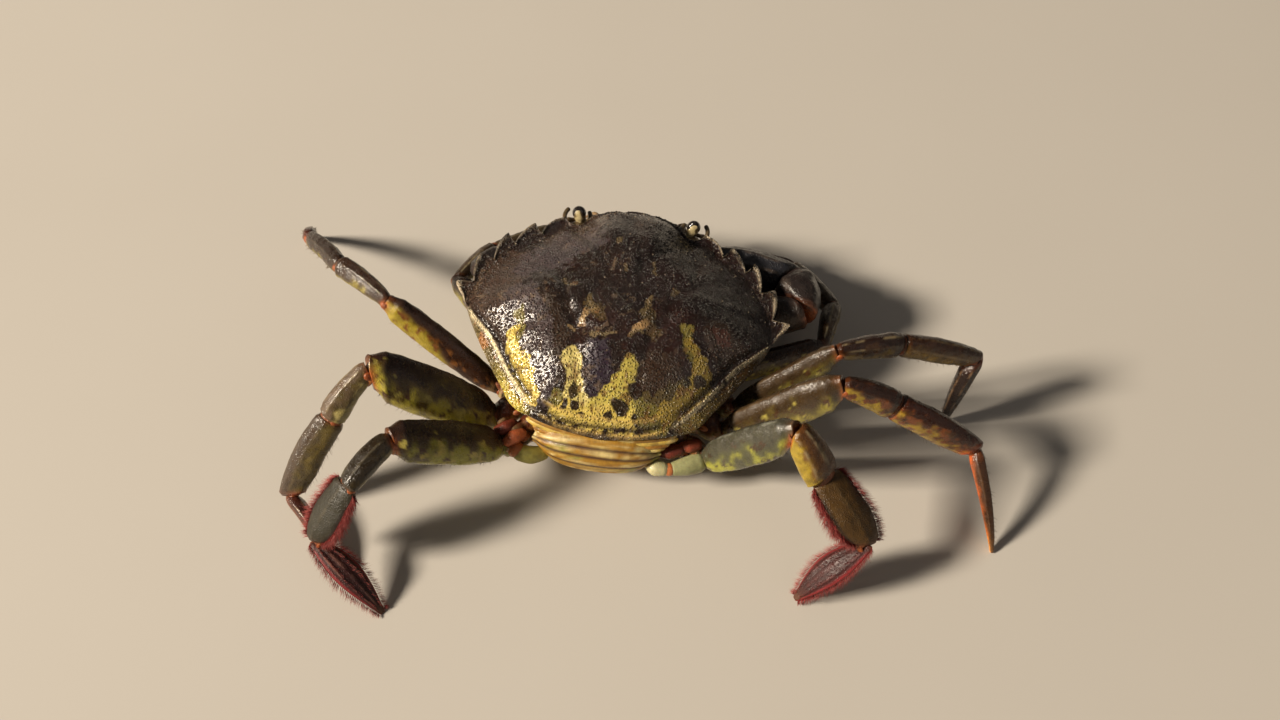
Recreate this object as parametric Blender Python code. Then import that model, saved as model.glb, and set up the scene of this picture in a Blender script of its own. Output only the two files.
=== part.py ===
"""Shore crab at life size, standing: shell, underside, face, eyes, feelers, two claws and eight legs.

Lengths are in millimetres and angles in degrees. +X is the crab's right, +Y its front, and z = 0 the floor.
Body places are measured from the middle of the line that joins the two widest teeth of the shell.
"""

import math

import bmesh
import bpy
from mathutils import Vector

MM = 0.001
BODY_AT = Vector((-2.23, 11.9, 17.5))  # the middle of the widest line, above the floor
BODY_TURN = -1.8  # the body points a little to its right
GAP = 0.3  # clearance between neighbouring pieces
RING_ROOM = 0.25  # least distance between a limb's rings where a sharp bend crowds them

# shell
SHELL_CENTRE = (0.0, -2.0)
DOME = 7.9
DOME_POWER = 2.3
DOME_ROUND = 0.72
FRONT_Y = 20.5
FRONT_HALF = 8.2
FRONT_BOW = 0.028
LOBE_NOTCH_X = 2.6
LOBE_NOTCH_DEPTH = 0.8
ORBIT = (10.8, 18.4, 2.5)  # x, y and radius of the round notch that holds the eye
TEETH = ((14.1, 17.0), (18.1, 15.3), (22.6, 12.4), (26.4, 7.2), (29.5, 0.3))
TOOTH_NOTCHES = ((16.9, 13.2), (21.3, 10.4), (24.4, 6.4), (26.9, 0.9))
FLANK_BULGE = 0.55
BEHIND_LAST_TOOTH = (27.7, -2.6)
SIDE_BOW = 0.5
REAR_CORNER = (17.3, -19.2)
REAR_PULL = (15.0, -24.6)
REAR_Y = -25.8
REAR_DROP = 0.0047  # how fast the shell's edge falls towards the rear
RIM_DEPTH = 0.9
RING_STEPS = (0.22, 0.42, 0.6, 0.76, 0.89, 0.97)
# lower edge of the side wall: degrees from straight ahead, share of the shell's radius, height
WALL_FOOT = (
    (0, 0.90, -2.6),
    (24, 0.90, -3.0),
    (34, 0.66, -9.2),
    (52, 0.62, -9.2),
    (62, 0.71, -6.2),
    (90, 0.74, -6.2),
    (130, 0.80, -6.3),
    (180, 0.88, -6.0),
)
INNER_FOOT = (0.42, -6.5)
# raised and sunken regions of the shell: x, y, rise, reach
REGIONS = (
    (3.6, 9.0, 0.55, 4.0),
    (0.0, -10.5, 0.7, 4.2),
    (14.0, -5.0, 0.5, 6.5),
    (9.0, 1.0, -0.5, 3.0),
    (7.2, -9.5, -0.5, 2.6),
    (0.0, -3.5, -0.3, 2.5),
)

# underside
STERNUM = (11.9, 13.0, -8.2)  # half width, half length, y of its middle
STERNUM_TOP = -7.2
STERNUM_BOTTOM = -12.6
# tail flap, folded under: y, z, half width
TAIL_LINE = (
    (-25.4, -4.3, 10.2),
    (-27.4, -6.5, 10.8),
    (-27.5, -9.8, 10.4),
    (-24.6, -13.1, 9.0),
    (-18.0, -14.4, 7.2),
    (-11.0, -14.4, 5.0),
    (-4.5, -14.3, 2.6),
)
TAIL_THICK = 1.5
# frame of the mouth, from the back forward: y, half width, lower and upper height
FACE = (
    (8.0, 4.9, -9.0, -7.3),
    (12.0, 7.2, -9.0, -6.0),
    (16.2, 8.0, -7.4, -4.3),
    (17.8, 7.4, -6.0, -3.7),
    (18.6, 6.0, -4.9, -3.4),
)
# plates that close the mouth, from the front back: y, height, inner and outer edge
MOUTH_PLATE = (
    (15.6, -8.5, 0.5, 6.2),
    (13.2, -9.8, 0.25, 7.3),
    (10.0, -11.0, 0.25, 6.6),
    (6.6, -12.2, 0.3, 5.6),
    (5.2, -12.4, 0.6, 4.6),
)
EYE_FOOT = (9.9, 17.6, -1.4)
EYE_TOP = (10.8, 18.6, 2.3)
EYE_RADIUS = 1.15
EYE_SHAPE = ((0.0, 0.62), (0.25, 0.72), (0.45, 0.92), (0.62, 1.0), (0.85, 0.80), (1.0, 0.35))
# two stout joints beside the eye, then a whip that curves forward and down: x, y, z, half thickness
FEELER = (
    (6.4, 18.6, -2.6, 1.0),
    (6.9, 20.0, -2.9, 1.0),
    (7.2, 21.2, -3.3, 0.7),
    (7.7, 22.6, -4.2, 0.45),
    (8.6, 24.6, -6.0, 0.36),
    (9.8, 26.2, -8.4, 0.32),
    (11.2, 27.2, -11.0, 0.28),
)

# legs: lengths of merus, carpus, propodus and dactylus
LEG_LENGTHS = {
    2: (20.5, 10.4, 13.8, 16.5),
    3: (24.4, 12.0, 15.3, 17.9),
    4: (25.4, 10.4, 17.4, 18.6),
    5: (22.1, 9.4, 12.8, 16.2),
}
# half height and half width of the same four, at their stoutest
LEG_GIRTHS = {
    2: ((2.7, 1.9), (2.0, 1.6), (1.9, 1.5), (1.1, 1.0)),
    3: ((2.8, 2.1), (2.1, 1.7), (2.0, 1.6), (1.3, 1.2)),
    4: ((4.1, 2.5), (2.5, 2.0), (2.6, 1.9), (1.15, 1.05)),
    5: ((3.6, 2.5), (2.5, 2.7), (1.5, 3.1), (0.85, 2.2)),
}
# how much stouter or slighter one leg is than its pair
LEG_STOUTNESS = {
    ("L", 3): (0.88, 0.92, 0.82, 0.95),
    ("L", 4): (1.02, 0.88, 0.94, 1.0),
    ("L", 5): (1.0, 0.93, 0.97, 0.95),
    ("R", 3): (0.85, 1.08, 1.10, 1.15),
    ("R", 4): (0.92, 1.05, 1.06, 1.0),
    ("R", 5): (0.95, 1.15, 1.12, 1.08),
}
# where each leg leaves the underside, on the right
LEG_ROOTS = {1: (12.3, 3.2, -10.0), 2: (12.6, -3.2, -10.0), 3: (12.4, -8.7, -10.0),
             4: (11.7, -13.9, -10.0), 5: (10.0, -18.6, -10.0)}
# where the merus begins; the hips of the left legs are swung further back
LEG_BASES = {
    "L": {1: (15.5, 5.0, -10.0), 2: (17.5, -5.0, -11.3), 3: (19.8, -13.4, -11.0),
          4: (19.1, -20.0, -10.2), 5: (16.7, -25.5, -9.8)},
    "R": {1: (15.5, 5.0, -10.0), 2: (17.5, -5.0, -11.3), 3: (21.7, -10.9, -11.3),
          4: (20.6, -16.4, -10.6), 5: (17.8, -22.5, -10.3)},
}
# pose: azimuth and elevation of merus, carpus and propodus, the azimuth of the dactylus,
# and how far the leg's upper edge leans forward, so that its rear face looks up
LEG_POSES = {
    ("L", 2): ((134, -2), (58, -4), (36, -6), 11, 0),
    ("L", 3): ((163, 35), (145, -2), (132, -25), 113, 25),
    ("L", 4): ((-169, 41), (-133, -39), (-134, -52), -45, 40),
    ("L", 5): ((-151, 36), (-127, -17), (-137, -53), -34, 40),
    ("R", 2): ((20, 8), (79, -8), (122, -14), 163, 0),
    ("R", 3): ((3, 52), (22, -11), (11, -21), -120, -5),
    ("R", 4): ((-1, 47), (4, -28), (-7, -28), -66, 0),
    ("R", 5): ((-14, 52), (-36, -44), (-43, -31), -149, 5),
}
DACTYLUS_BOW = 0.9
LEG_BOW = 0.45  # how far carpus and propodus arch upward
TIP_RINGS = 4  # rings of room kept ahead of a dactylus's tip
TIP_HALF = 0.32  # half width of the flat that each leg stands on
# half height and half width of the hips and of the claw's arm
HIP_GIRTH = (2.3, 1.9)
CLAW_HIP_GIRTH = (2.6, 2.4)
CLAW_MERUS_GIRTH = (3.8, 3.2)
CLAW_CARPUS_GIRTH = (4.3, 4.1)

# claws: lengths of merus, carpus and chela, then the azimuth and elevation of each, then its scale
CLAWS = {
    "L": ((12.4, 7.2, 25.1), ((166, 20), (50, -20), (26, -11)), 0.84),
    "R": ((17.1, 8.0, 29.7), ((4, 20), (99, -14), (165, -13)), 0.98),
}

# palm with its fixed finger, and the moving finger: share of length, half height, half thickness, lift
CHELA_PALM = (
    (0.00, 2.6, 2.4, 0.0),
    (0.05, 3.9, 3.2, 0.0),
    (0.18, 5.2, 3.8, 0.2),
    (0.36, 5.8, 3.9, 0.2),
    (0.50, 5.5, 3.7, 0.0),
    (0.56, 4.9, 3.4, -0.5),
    (0.61, 2.6, 2.8, -2.9),
    (0.72, 2.1, 2.1, -3.0),
    (0.84, 1.7, 1.7, -2.7),
    (0.94, 1.2, 1.2, -1.9),
    (1.00, 0.4, 0.4, -1.1),
)
CHELA_FINGER = (
    (0.625, 1.5, 1.6, 2.6),
    (0.66, 2.1, 2.0, 2.5),
    (0.74, 1.9, 1.9, 2.5),
    (0.84, 1.6, 1.5, 2.1),
    (0.93, 1.1, 1.1, 1.2),
    (1.00, 0.4, 0.4, 0.2),
)

# shapes along a segment: share of its length, share of its stoutest girth
MERUS = ((0.0, 0.52), (0.07, 0.72), (0.28, 0.93), (0.58, 1.0), (0.86, 0.92), (1.0, 0.68))
CARPUS = ((0.0, 0.58), (0.20, 0.76), (0.60, 0.96), (0.86, 1.0), (1.0, 0.88))
PROPODUS = ((0.0, 0.84), (0.10, 0.94), (0.45, 1.0), (0.80, 0.88), (0.94, 0.72), (1.0, 0.56))
PADDLE = ((0.0, 0.66), (0.12, 0.82), (0.40, 0.98), (0.65, 1.0), (0.90, 0.74), (1.0, 0.48))
DACTYLUS = ((0.0, 0.75), (0.10, 1.0), (0.45, 0.84), (0.80, 0.50))
LEAF = ((0.0, 0.42), (0.14, 0.78), (0.42, 1.0), (0.75, 0.60))
HIP = ((0.0, 0.80), (0.15, 1.0), (0.75, 0.96), (1.0, 0.78))
CLAW_CARPUS = ((0.0, 0.66), (0.30, 0.92), (0.55, 1.0), (0.75, 0.96), (1.0, 0.74))
LEG_SIDES = 8

COLOURS = {
    "shell": (0.075, 0.052, 0.035, 0.30),
    "belly": (0.52, 0.42, 0.20, 0.45),
    "leg": (0.13, 0.12, 0.045, 0.35),
    "hip": (0.30, 0.10, 0.05, 0.40),
    "paddle": (0.33, 0.05, 0.05, 0.40),
    "claw": (0.10, 0.085, 0.055, 0.32),
    "eye": (0.012, 0.010, 0.010, 0.10),
    "feeler": (0.22, 0.13, 0.06, 0.50),
}


def clear_scene():
    for old in list(bpy.data.objects):
        bpy.data.objects.remove(old, do_unlink=True)


def material(kind):
    found = bpy.data.materials.get(kind)
    if found:
        return found
    made = bpy.data.materials.new(kind)
    made.use_nodes = True
    red, green, blue, roughness = COLOURS[kind]
    shader = made.node_tree.nodes["Principled BSDF"]
    shader.inputs["Base Color"].default_value = (red, green, blue, 1.0)
    shader.inputs["Roughness"].default_value = roughness
    shader.inputs["Metallic"].default_value = 0.0
    return made


def lerp(a, b, share):
    return a + (b - a) * share


def along(table, at):
    """Value of a table of rows (position, value, ...) at a position, straight between its rows."""
    for low, high in zip(table, table[1:]):
        if at <= high[0]:
            share = (at - low[0]) / (high[0] - low[0])
            return [lerp(a, b, share) for a, b in zip(low[1:], high[1:])]
    return list(table[-1][1:])


def place(point, sign=1):
    """A body place, on the right for sign 1 and on the left for sign -1, in the model's frame."""
    turn = math.radians(BODY_TURN)
    x, y = sign * point[0], point[1]
    across = x * math.cos(turn) - y * math.sin(turn)
    ahead = x * math.sin(turn) + y * math.cos(turn)
    return BODY_AT + Vector((across, ahead, point[2]))


def heading(azimuth, elevation):
    across = math.cos(math.radians(elevation))
    turn = math.radians(azimuth)
    return Vector((across * math.cos(turn), across * math.sin(turn), math.sin(math.radians(elevation))))


def loft(name, rings, kind):
    """One closed body through rings of equal count, with a flat cap at each end."""
    mesh = bmesh.new()
    rows = [[mesh.verts.new(point * MM) for point in ring] for ring in rings]
    count = len(rows[0])
    for low, high in zip(rows, rows[1:]):
        for k in range(count):
            after = (k + 1) % count
            mesh.faces.new((low[k], low[after], high[after], high[k]))
    for row in (rows[0], rows[-1]):
        mesh.faces.new(row)
    return finish(name, mesh, kind)


def finish(name, mesh, kind):
    bmesh.ops.recalc_face_normals(mesh, faces=mesh.faces)
    data = bpy.data.meshes.new(name)
    mesh.to_mesh(data)
    mesh.free()
    data.shade_smooth()
    data.set_sharp_from_angle(angle=math.radians(50))
    data.materials.append(material(kind))
    node = bpy.data.objects.new(name, data)
    bpy.context.collection.objects.link(node)
    return node


def section(centre, side, up, half_width, half_height, sides=LEG_SIDES, keel=0.15):
    """One ring across a limb, a little narrower above than below."""
    ring = []
    for k in range(sides):
        turn = 2 * math.pi * (k + 0.5) / sides
        lift = math.sin(turn)
        width = half_width * math.cos(turn) * (1 - keel * lift)
        ring.append(centre + side * width + up * half_height * lift)
    return ring


def frame_of(direction, lean=0.0):
    """Sideways and upward unit vectors across a direction, with the upper edge leaning forward."""
    up = Vector((0, 0, 1)) - direction * direction.z
    up.normalize()
    side = direction.cross(up)
    turn = math.radians(lean) * (1 if side.y > 0 else -1)
    up, side = up * math.cos(turn) + side * math.sin(turn), side * math.cos(turn) - up * math.sin(turn)
    return side, up


def run_at(line, k):
    """The direction of a line of points at one of them."""
    return (line[min(k + 1, len(line) - 1)] - line[max(k - 1, 0)]).normalized()


def keep_between(points, direction, start, end, after_start, before_end):
    """Slide a ring's points along the limb so that they stay inside its two joint planes.

    The last two values count the rings between this one and either end; the end rings lie on the planes.
    """
    kept = []
    for point in points:
        for (joint, normal), sign, rings in ((start, 1, after_start), (end, -1, before_end)):
            beyond = sign * (point - joint).dot(normal) - GAP / 2 - rings * RING_ROOM
            if rings == 0 or beyond < 0:
                point = point - direction * (sign * beyond / direction.dot(normal))
        kept.append(point)
    return kept


def limb(name, start, end, profile, girth, kind, lean=0.0, bow=0.0):
    """A limb segment between two joint planes, through the sections of its profile."""
    direction = (end[0] - start[0]).normalized()
    side, up = frame_of(direction, lean)
    last = len(profile) - 1
    rings = []
    for k, (share, size) in enumerate(profile):
        centre = start[0].lerp(end[0], share) + up * (bow * 4 * share * (1 - share))
        ring = section(centre, side, up, girth[1] * size, girth[0] * size)
        rings.append(keep_between(ring, direction, start, end, k, last - k))
    loft(name, rings, kind)


# ---- shell ----


def front_edge(x):
    notch = math.exp(-(((abs(x) - LOBE_NOTCH_X) / 0.75) ** 2))
    return FRONT_Y - FRONT_BOW * x * x - LOBE_NOTCH_DEPTH * notch


def half_outline():
    """Right half of the shell's outline, from the middle of the front to the middle of the rear."""
    points = [(x, front_edge(x)) for x in (0.0, 1.4, 2.6, 3.8, 5.4, 7.0, FRONT_HALF)]
    for turn in (190, 220, 250, 280, 310, 335):
        angle = math.radians(turn)
        points.append((ORBIT[0] + ORBIT[2] * math.cos(angle), ORBIT[1] + ORBIT[2] * math.sin(angle)))
    for tip, notch in zip(TEETH, TOOTH_NOTCHES):
        points.append(tip)
        run = Vector((notch[0] - tip[0], notch[1] - tip[1]))
        out = Vector((-run.y, run.x)).normalized()
        for share in (0.35, 0.7):
            swell = FLANK_BULGE * 4 * share * (1 - share)
            points.append((tip[0] + run.x * share + out.x * swell, tip[1] + run.y * share + out.y * swell))
        points.append(notch)
    points.append(TEETH[-1])
    points.append(BEHIND_LAST_TOOTH)
    for step in range(1, 5):
        share = step / 5
        swell = SIDE_BOW * 4 * share * (1 - share)
        points.append((lerp(BEHIND_LAST_TOOTH[0], REAR_CORNER[0], share) + swell * 0.85,
                       lerp(BEHIND_LAST_TOOTH[1], REAR_CORNER[1], share) - swell * 0.5))
    for step in range(6):
        share = step / 5
        points.append(tuple(
            (1 - share) ** 2 * a + 2 * share * (1 - share) * b + share**2 * c
            for a, b, c in zip(REAR_CORNER, REAR_PULL, (0.0, REAR_Y))))
    return points


def polar(x, y):
    """Degrees from straight ahead, and distance, from the shell's centre."""
    dx, dy = x - SHELL_CENTRE[0], y - SHELL_CENTRE[1]
    return math.degrees(math.atan2(abs(dx), dy)), math.hypot(dx, dy)


def smooth_radius():
    """The shell's radius inside its teeth, as rows (degrees from straight ahead, radius)."""
    inside = [(0.0, FRONT_Y - 0.7), (4.0, 19.3), (8.0, 17.4), (10.8, 15.1), (13.6, 14.9)]
    inside += [(x - 0.45, y - 0.35) for x, y in TOOTH_NOTCHES]
    inside += [(BEHIND_LAST_TOOTH[0] - 0.6, BEHIND_LAST_TOOTH[1]), (22.3, -11.1)]
    inside += [(REAR_CORNER[0] - 0.5, REAR_CORNER[1] + 0.4), (11.4, -23.3), (0.0, REAR_Y + 0.5)]
    return [polar(x, y) for x, y in inside]


RADIUS_ROWS = smooth_radius()


def edge_height(y):
    return -REAR_DROP * y * y if y < 0 else 0.02 * y


def dome_height(x, y):
    angle, distance = polar(x, y)
    share = min(distance / along(RADIUS_ROWS, angle)[0], 1.0)
    height = DOME * (1 - share**DOME_POWER) ** DOME_ROUND
    for at_x, at_y, rise, reach in REGIONS:
        near = ((abs(x) - at_x) ** 2 + (y - at_y) ** 2) / reach**2
        height += rise * math.exp(-near) * (1 - share**4)
    return edge_height(y) + height


def shell_outline():
    right = half_outline()
    angles = [polar(x, y)[0] for x, y in right]
    for k in range(1, len(angles)):
        angles[k] = max(angles[k], angles[k - 1] + 0.5)
    angles[-1] = 180.0
    for k in range(len(angles) - 2, 0, -1):
        angles[k] = min(angles[k], angles[k + 1] - 0.5)
    whole = [(x, y, angle, 1) for (x, y), angle in zip(right, angles)]
    whole += [(-x, y, angle, -1) for (x, y), angle in list(zip(right, angles))[-2:0:-1]]
    return whole


def ring_point(angle, sign, share, height=None):
    """A point at a share of the smooth radius; on the dome where no height is given."""
    radius = along(RADIUS_ROWS, angle)[0] * share
    turn = math.radians(angle)
    x = SHELL_CENTRE[0] + sign * radius * math.sin(turn)
    y = SHELL_CENTRE[1] + radius * math.cos(turn)
    return place((x, y, dome_height(x, y) if height is None else height))


def make_shell():
    outline = shell_outline()
    rings = [[ring_point(angle, sign, share) for _, _, angle, sign in outline] for share in RING_STEPS]
    rim = []
    under_rim = []
    for x, y, angle, sign in outline:
        rim.append(place((x, y, edge_height(y))))
        inward = Vector((SHELL_CENTRE[0] - x, SHELL_CENTRE[1] - y)).normalized() * 0.35
        under_rim.append(place((x + inward.x, y + inward.y, edge_height(y) - RIM_DEPTH)))
    rings += [rim, under_rim]
    rings.append([ring_point(a, s, 0.95, edge_height(y) - 1.5) for _, y, a, s in outline])
    wall = [along(WALL_FOOT, a) for _, _, a, _ in outline]
    rings.append([ring_point(o[2], o[3], lerp(0.95, w[0], 0.62), lerp(edge_height(o[1]) - 1.5, w[1], 0.4))
                  for o, w in zip(outline, wall)])
    rings.append([ring_point(o[2], o[3], *w) for o, w in zip(outline, wall)])
    rings.append([ring_point(o[2], o[3], *INNER_FOOT) for o in outline])
    mesh = bmesh.new()
    rows = [[mesh.verts.new(point * MM) for point in ring] for ring in rings]
    top = mesh.verts.new(place((*SHELL_CENTRE, dome_height(*SHELL_CENTRE))) * MM)
    bottom = mesh.verts.new(place((*SHELL_CENTRE, INNER_FOOT[1])) * MM)
    count = len(outline)
    for k in range(count):
        after = (k + 1) % count
        mesh.faces.new((top, rows[0][k], rows[0][after]))
        mesh.faces.new((bottom, rows[-1][after], rows[-1][k]))
        for low, high in zip(rows, rows[1:]):
            mesh.faces.new((low[k], high[k], high[after], low[after]))
    finish("carapace", mesh, "shell")


# ---- underside, face, eyes and feelers ----


def make_sternum():
    half_width, half_length, middle = STERNUM
    rings = []
    for height, share in ((STERNUM_TOP, 0.97), (-9.5, 1.0), (-11.5, 0.92), (STERNUM_BOTTOM, 0.72)):
        ring = []
        for k in range(24):
            turn = 2 * math.pi * k / 24
            cos, sin = math.cos(turn), math.sin(turn)
            x = half_width * share * math.copysign(abs(cos) ** 0.7, cos)
            y = half_length * share * math.copysign(abs(sin) ** 0.7, sin)
            taper = 1 - 0.16 * max(0.0, -sin)
            ring.append(place((x * taper, middle + y, height)))
        rings.append(ring)
    loft("sternum", rings, "belly")


def make_tail():
    line = [Vector((0, y, z)) for y, z, _ in TAIL_LINE]
    rings = []
    for k, (here, row) in enumerate(zip(line, TAIL_LINE)):
        run = run_at(line, k)
        out = Vector((0, run.z, -run.y))
        half = row[2]
        ring = []
        for share, lift in ((-1.0, 0.25), (-0.6, 0.85), (0.0, 1.0), (0.6, 0.85), (1.0, 0.25),
                            (0.6, 0.0), (0.0, 0.0), (-0.6, 0.0)):
            ring.append(place(here + Vector((share * half, 0, 0)) - out * TAIL_THICK * lift))
        rings.append(ring)
    loft("abdomen", rings, "belly")


def make_face():
    rings = []
    for y, half, low, high in FACE:
        ring = []
        for k in range(12):
            turn = 2 * math.pi * (k + 0.5) / 12
            cos, sin = math.cos(turn), math.sin(turn)
            x = half * math.copysign(abs(cos) ** 0.55, cos)
            z = (high + low) / 2 + (high - low) / 2 * math.copysign(abs(sin) ** 0.55, sin)
            ring.append(place((x, y, z)))
        rings.append(ring)
    loft("face", rings, "belly")


def make_eye(side, sign):
    """A short stalk that rises from the inner end of the orbit and carries the eye."""
    foot = place(EYE_FOOT, sign)
    top = place(EYE_TOP, sign)
    direction = (top - foot).normalized()
    across = direction.cross(Vector((0, 1, 0))).normalized()
    ahead = across.cross(direction)
    rings = []
    for share, size in EYE_SHAPE:
        half = EYE_RADIUS * size
        rings.append(section(foot.lerp(top, share), across, ahead, half, half, sides=10, keel=0.0))
    loft("eye_" + side, rings, "eye")


def make_antenna(side, sign):
    line = [place(row[:3], sign) for row in FEELER]
    rings = []
    for k, (here, row) in enumerate(zip(line, FEELER)):
        across, up = frame_of(run_at(line, k))
        rings.append(section(here, across, up, row[3], row[3], sides=6, keel=0.0))
    loft("antenna_" + side, rings, "feeler")


def make_maxilliped(side, sign):
    """One of the two plates that close the mouth, sloping down and back."""
    rings = []
    for y, z, inner, outer in MOUTH_PLATE:
        ring = []
        for across, lift in ((0.0, 0.0), (0.5, 0.3), (1.0, 0.0), (1.0, -0.7), (0.5, -1.2), (0.0, -0.9)):
            ring.append(place((lerp(inner, outer, across), y, z + lift), sign))
        rings.append(ring)
    loft("maxilliped_" + side, rings, "belly")


# ---- legs ----


def joint_planes(joints):
    """The planes that halve the bend at each joint, square at the two ends, and the run of each segment."""
    runs = [(b - a).normalized() for a, b in zip(joints, joints[1:])]
    before = [runs[0]] + runs
    after = runs + [runs[-1]]
    return [(joint, (a + b).normalized()) for joint, a, b in zip(joints, before, after)], runs


def make_leg(side, sign, number):
    lengths = LEG_LENGTHS[number]
    stoutness = LEG_STOUTNESS.get((side, number), (1.0, 1.0, 1.0, 1.0))
    girths = [(tall * grown, wide * grown) for (tall, wide), grown in zip(LEG_GIRTHS[number], stoutness)]
    *angles, last_turn, lean = LEG_POSES[side, number]
    joints = [place(LEG_ROOTS[number], sign), place(LEG_BASES[side][number], sign)]
    for length, pair in zip(lengths, angles):
        joints.append(joints[-1] + heading(*pair) * length)
    drop = joints[-1].z
    level = math.sqrt(lengths[3] ** 2 - drop**2)
    joints.append(joints[-1] + heading(last_turn, 0) * level - Vector((0, 0, drop)))
    planes, _ = joint_planes(joints)
    paddle = number == 5
    parts = (("hip", HIP, HIP_GIRTH, 0.0, "hip"), ("merus", MERUS, girths[0], lean, "leg"),
             ("carpus", CARPUS, girths[1], lean, "leg"),
             ("propodus", PADDLE if paddle else PROPODUS, girths[2], 0.0 if paddle else lean, "leg"))
    for k, (name, shape, girth, leaning, kind) in enumerate(parts):
        bow = LEG_BOW if k > 1 else 0.0
        limb(f"leg{number}_{name}_{side}", planes[k], planes[k + 1], shape, girth, kind, leaning, bow)
    make_dactylus(f"leg{number}_dactylus_{side}", planes[4], joints[5], girths[3], paddle)


def make_dactylus(name, start, tip, girth, paddle):
    """The last joint: a curved spike or a leaf, ending in a small level flat on the floor."""
    direction = (tip - start[0]).normalized()
    side, up = frame_of(direction)
    rings = []
    for k, (share, size) in enumerate(LEAF if paddle else DACTYLUS):
        centre = start[0].lerp(tip, share) + up * (DACTYLUS_BOW * 4 * share * (1 - share))
        centre.z = max(centre.z, girth[0] * size + 0.05)
        ring = section(centre, side, up, girth[1] * size, girth[0] * size)
        rings.append(keep_between(ring, direction, start, (tip, direction), k, TIP_RINGS))
    flat_side = Vector((side.x, side.y, 0)).normalized()
    flat_up = Vector((direction.x, direction.y, 0)).normalized()
    rings.append(section(Vector((tip.x, tip.y, 0)), flat_side, flat_up, TIP_HALF, TIP_HALF, keel=0.0))
    loft(name, rings, "paddle" if paddle else "leg")


# ---- claws ----


def make_claw(side, sign):
    lengths, angles, scale = CLAWS[side]
    joints = [place(LEG_ROOTS[1], sign), place(LEG_BASES[side][1], sign)]
    for length, pair in zip(lengths, angles):
        joints.append(joints[-1] + heading(*pair) * length)
    planes, runs = joint_planes(joints)
    parts = (("hip", HIP, CLAW_HIP_GIRTH, "hip"), ("merus", MERUS, CLAW_MERUS_GIRTH, "claw"),
             ("carpus", CLAW_CARPUS, CLAW_CARPUS_GIRTH, "claw"))
    for k, (name, shape, (tall, wide), kind) in enumerate(parts):
        grown = (tall * scale, wide * scale) if k else (tall, wide)
        limb(f"claw_{name}_{side}", planes[k], planes[k + 1], shape, grown, kind)
    across, up = frame_of(runs[3])
    for name, rows in (("palm", CHELA_PALM), ("finger", CHELA_FINGER)):
        rings = []
        for k, (share, tall, thick, lift) in enumerate(rows):
            centre = joints[3].lerp(joints[4], share) + up * lift * scale
            ring = section(centre, across, up, thick * scale, tall * scale, keel=0.1)
            if name == "palm":
                ring = keep_between(ring, runs[3], planes[3], planes[4], k, len(rows) - k)
            rings.append(ring)
        loft(f"claw_{name}_{side}", rings, "claw")


def main():
    clear_scene()
    make_shell()
    make_sternum()
    make_tail()
    make_face()
    for side, sign in (("L", -1), ("R", 1)):
        make_eye(side, sign)
        make_antenna(side, sign)
        make_maxilliped(side, sign)
        make_claw(side, sign)
        for number in (2, 3, 4, 5):
            make_leg(side, sign, number)


main()
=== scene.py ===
import math
import time

import bpy
import numpy as np
from mathutils import Matrix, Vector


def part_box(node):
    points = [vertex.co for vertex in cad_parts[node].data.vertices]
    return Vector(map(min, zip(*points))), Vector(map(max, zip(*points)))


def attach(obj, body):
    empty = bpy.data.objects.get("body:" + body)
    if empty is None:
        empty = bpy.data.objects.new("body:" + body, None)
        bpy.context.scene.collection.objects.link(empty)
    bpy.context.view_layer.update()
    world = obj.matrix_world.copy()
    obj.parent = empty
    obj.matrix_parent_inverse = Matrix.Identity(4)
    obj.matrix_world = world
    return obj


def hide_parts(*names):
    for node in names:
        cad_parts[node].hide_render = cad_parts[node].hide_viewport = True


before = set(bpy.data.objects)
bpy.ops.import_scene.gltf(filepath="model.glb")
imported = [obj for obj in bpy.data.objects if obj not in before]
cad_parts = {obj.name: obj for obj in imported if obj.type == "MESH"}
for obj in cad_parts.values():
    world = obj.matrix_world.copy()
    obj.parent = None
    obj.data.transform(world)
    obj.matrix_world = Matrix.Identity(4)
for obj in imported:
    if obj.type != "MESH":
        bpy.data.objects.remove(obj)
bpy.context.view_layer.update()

started = time.time()


def tell(stage):
    print("%6.1f s  %s" % (time.time() - started, stage))


# the shell's box gives the scale and the body's place; all work below is in millimetres
shellLow, shellHigh = [np.array(corner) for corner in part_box("carapace")]
mm = (shellHigh[0] - shellLow[0]) / 58.97
bodyAt = np.array([(shellLow[0] + shellHigh[0]) / 2, shellHigh[1] - 20.5 * mm, shellLow[2] + 9.2 * mm]) / mm
bodyTurn = math.radians(-1.8)
bodyAxes = np.array([
    [math.cos(bodyTurn), -math.sin(bodyTurn), 0], [math.sin(bodyTurn), math.cos(bodyTurn), 0], [0, 0, 1]])


def place(points, sign=1):
    return bodyAt + (np.asarray(points, float) * [sign, 1, 1]) @ bodyAxes.T


def unit(vector):
    vector = np.asarray(vector, float)
    return vector / np.linalg.norm(vector, axis=-1, keepdims=True)


def mix(a, b, share):
    return a + (b - a) * share


def step(low, high, value):
    share = np.clip((value - low) / (high - low), 0, 1)
    return share * share * (3 - 2 * share)


def swell(value, at, reach):
    return np.exp(-(((value - at) / reach) ** 2))


def squared(wave, power):  # a sine or cosine pushed towards a square wave
    return np.sign(wave) * abs(wave) ** power


def laid(tint, colour, share):  # a colour laid over a tint by a share at each point
    return mix(np.asarray(tint, float), np.asarray(colour, float), np.asarray(share)[..., None])


def ringTurn(cols):  # angles round a ring, as one row
    return (2 * math.pi * (np.arange(cols) + 0.5) / cols)[None]


def turnFrom(turn, middle):  # the shorter way round from an angle
    return (turn - middle + math.pi) % (2 * math.pi) - math.pi


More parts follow.
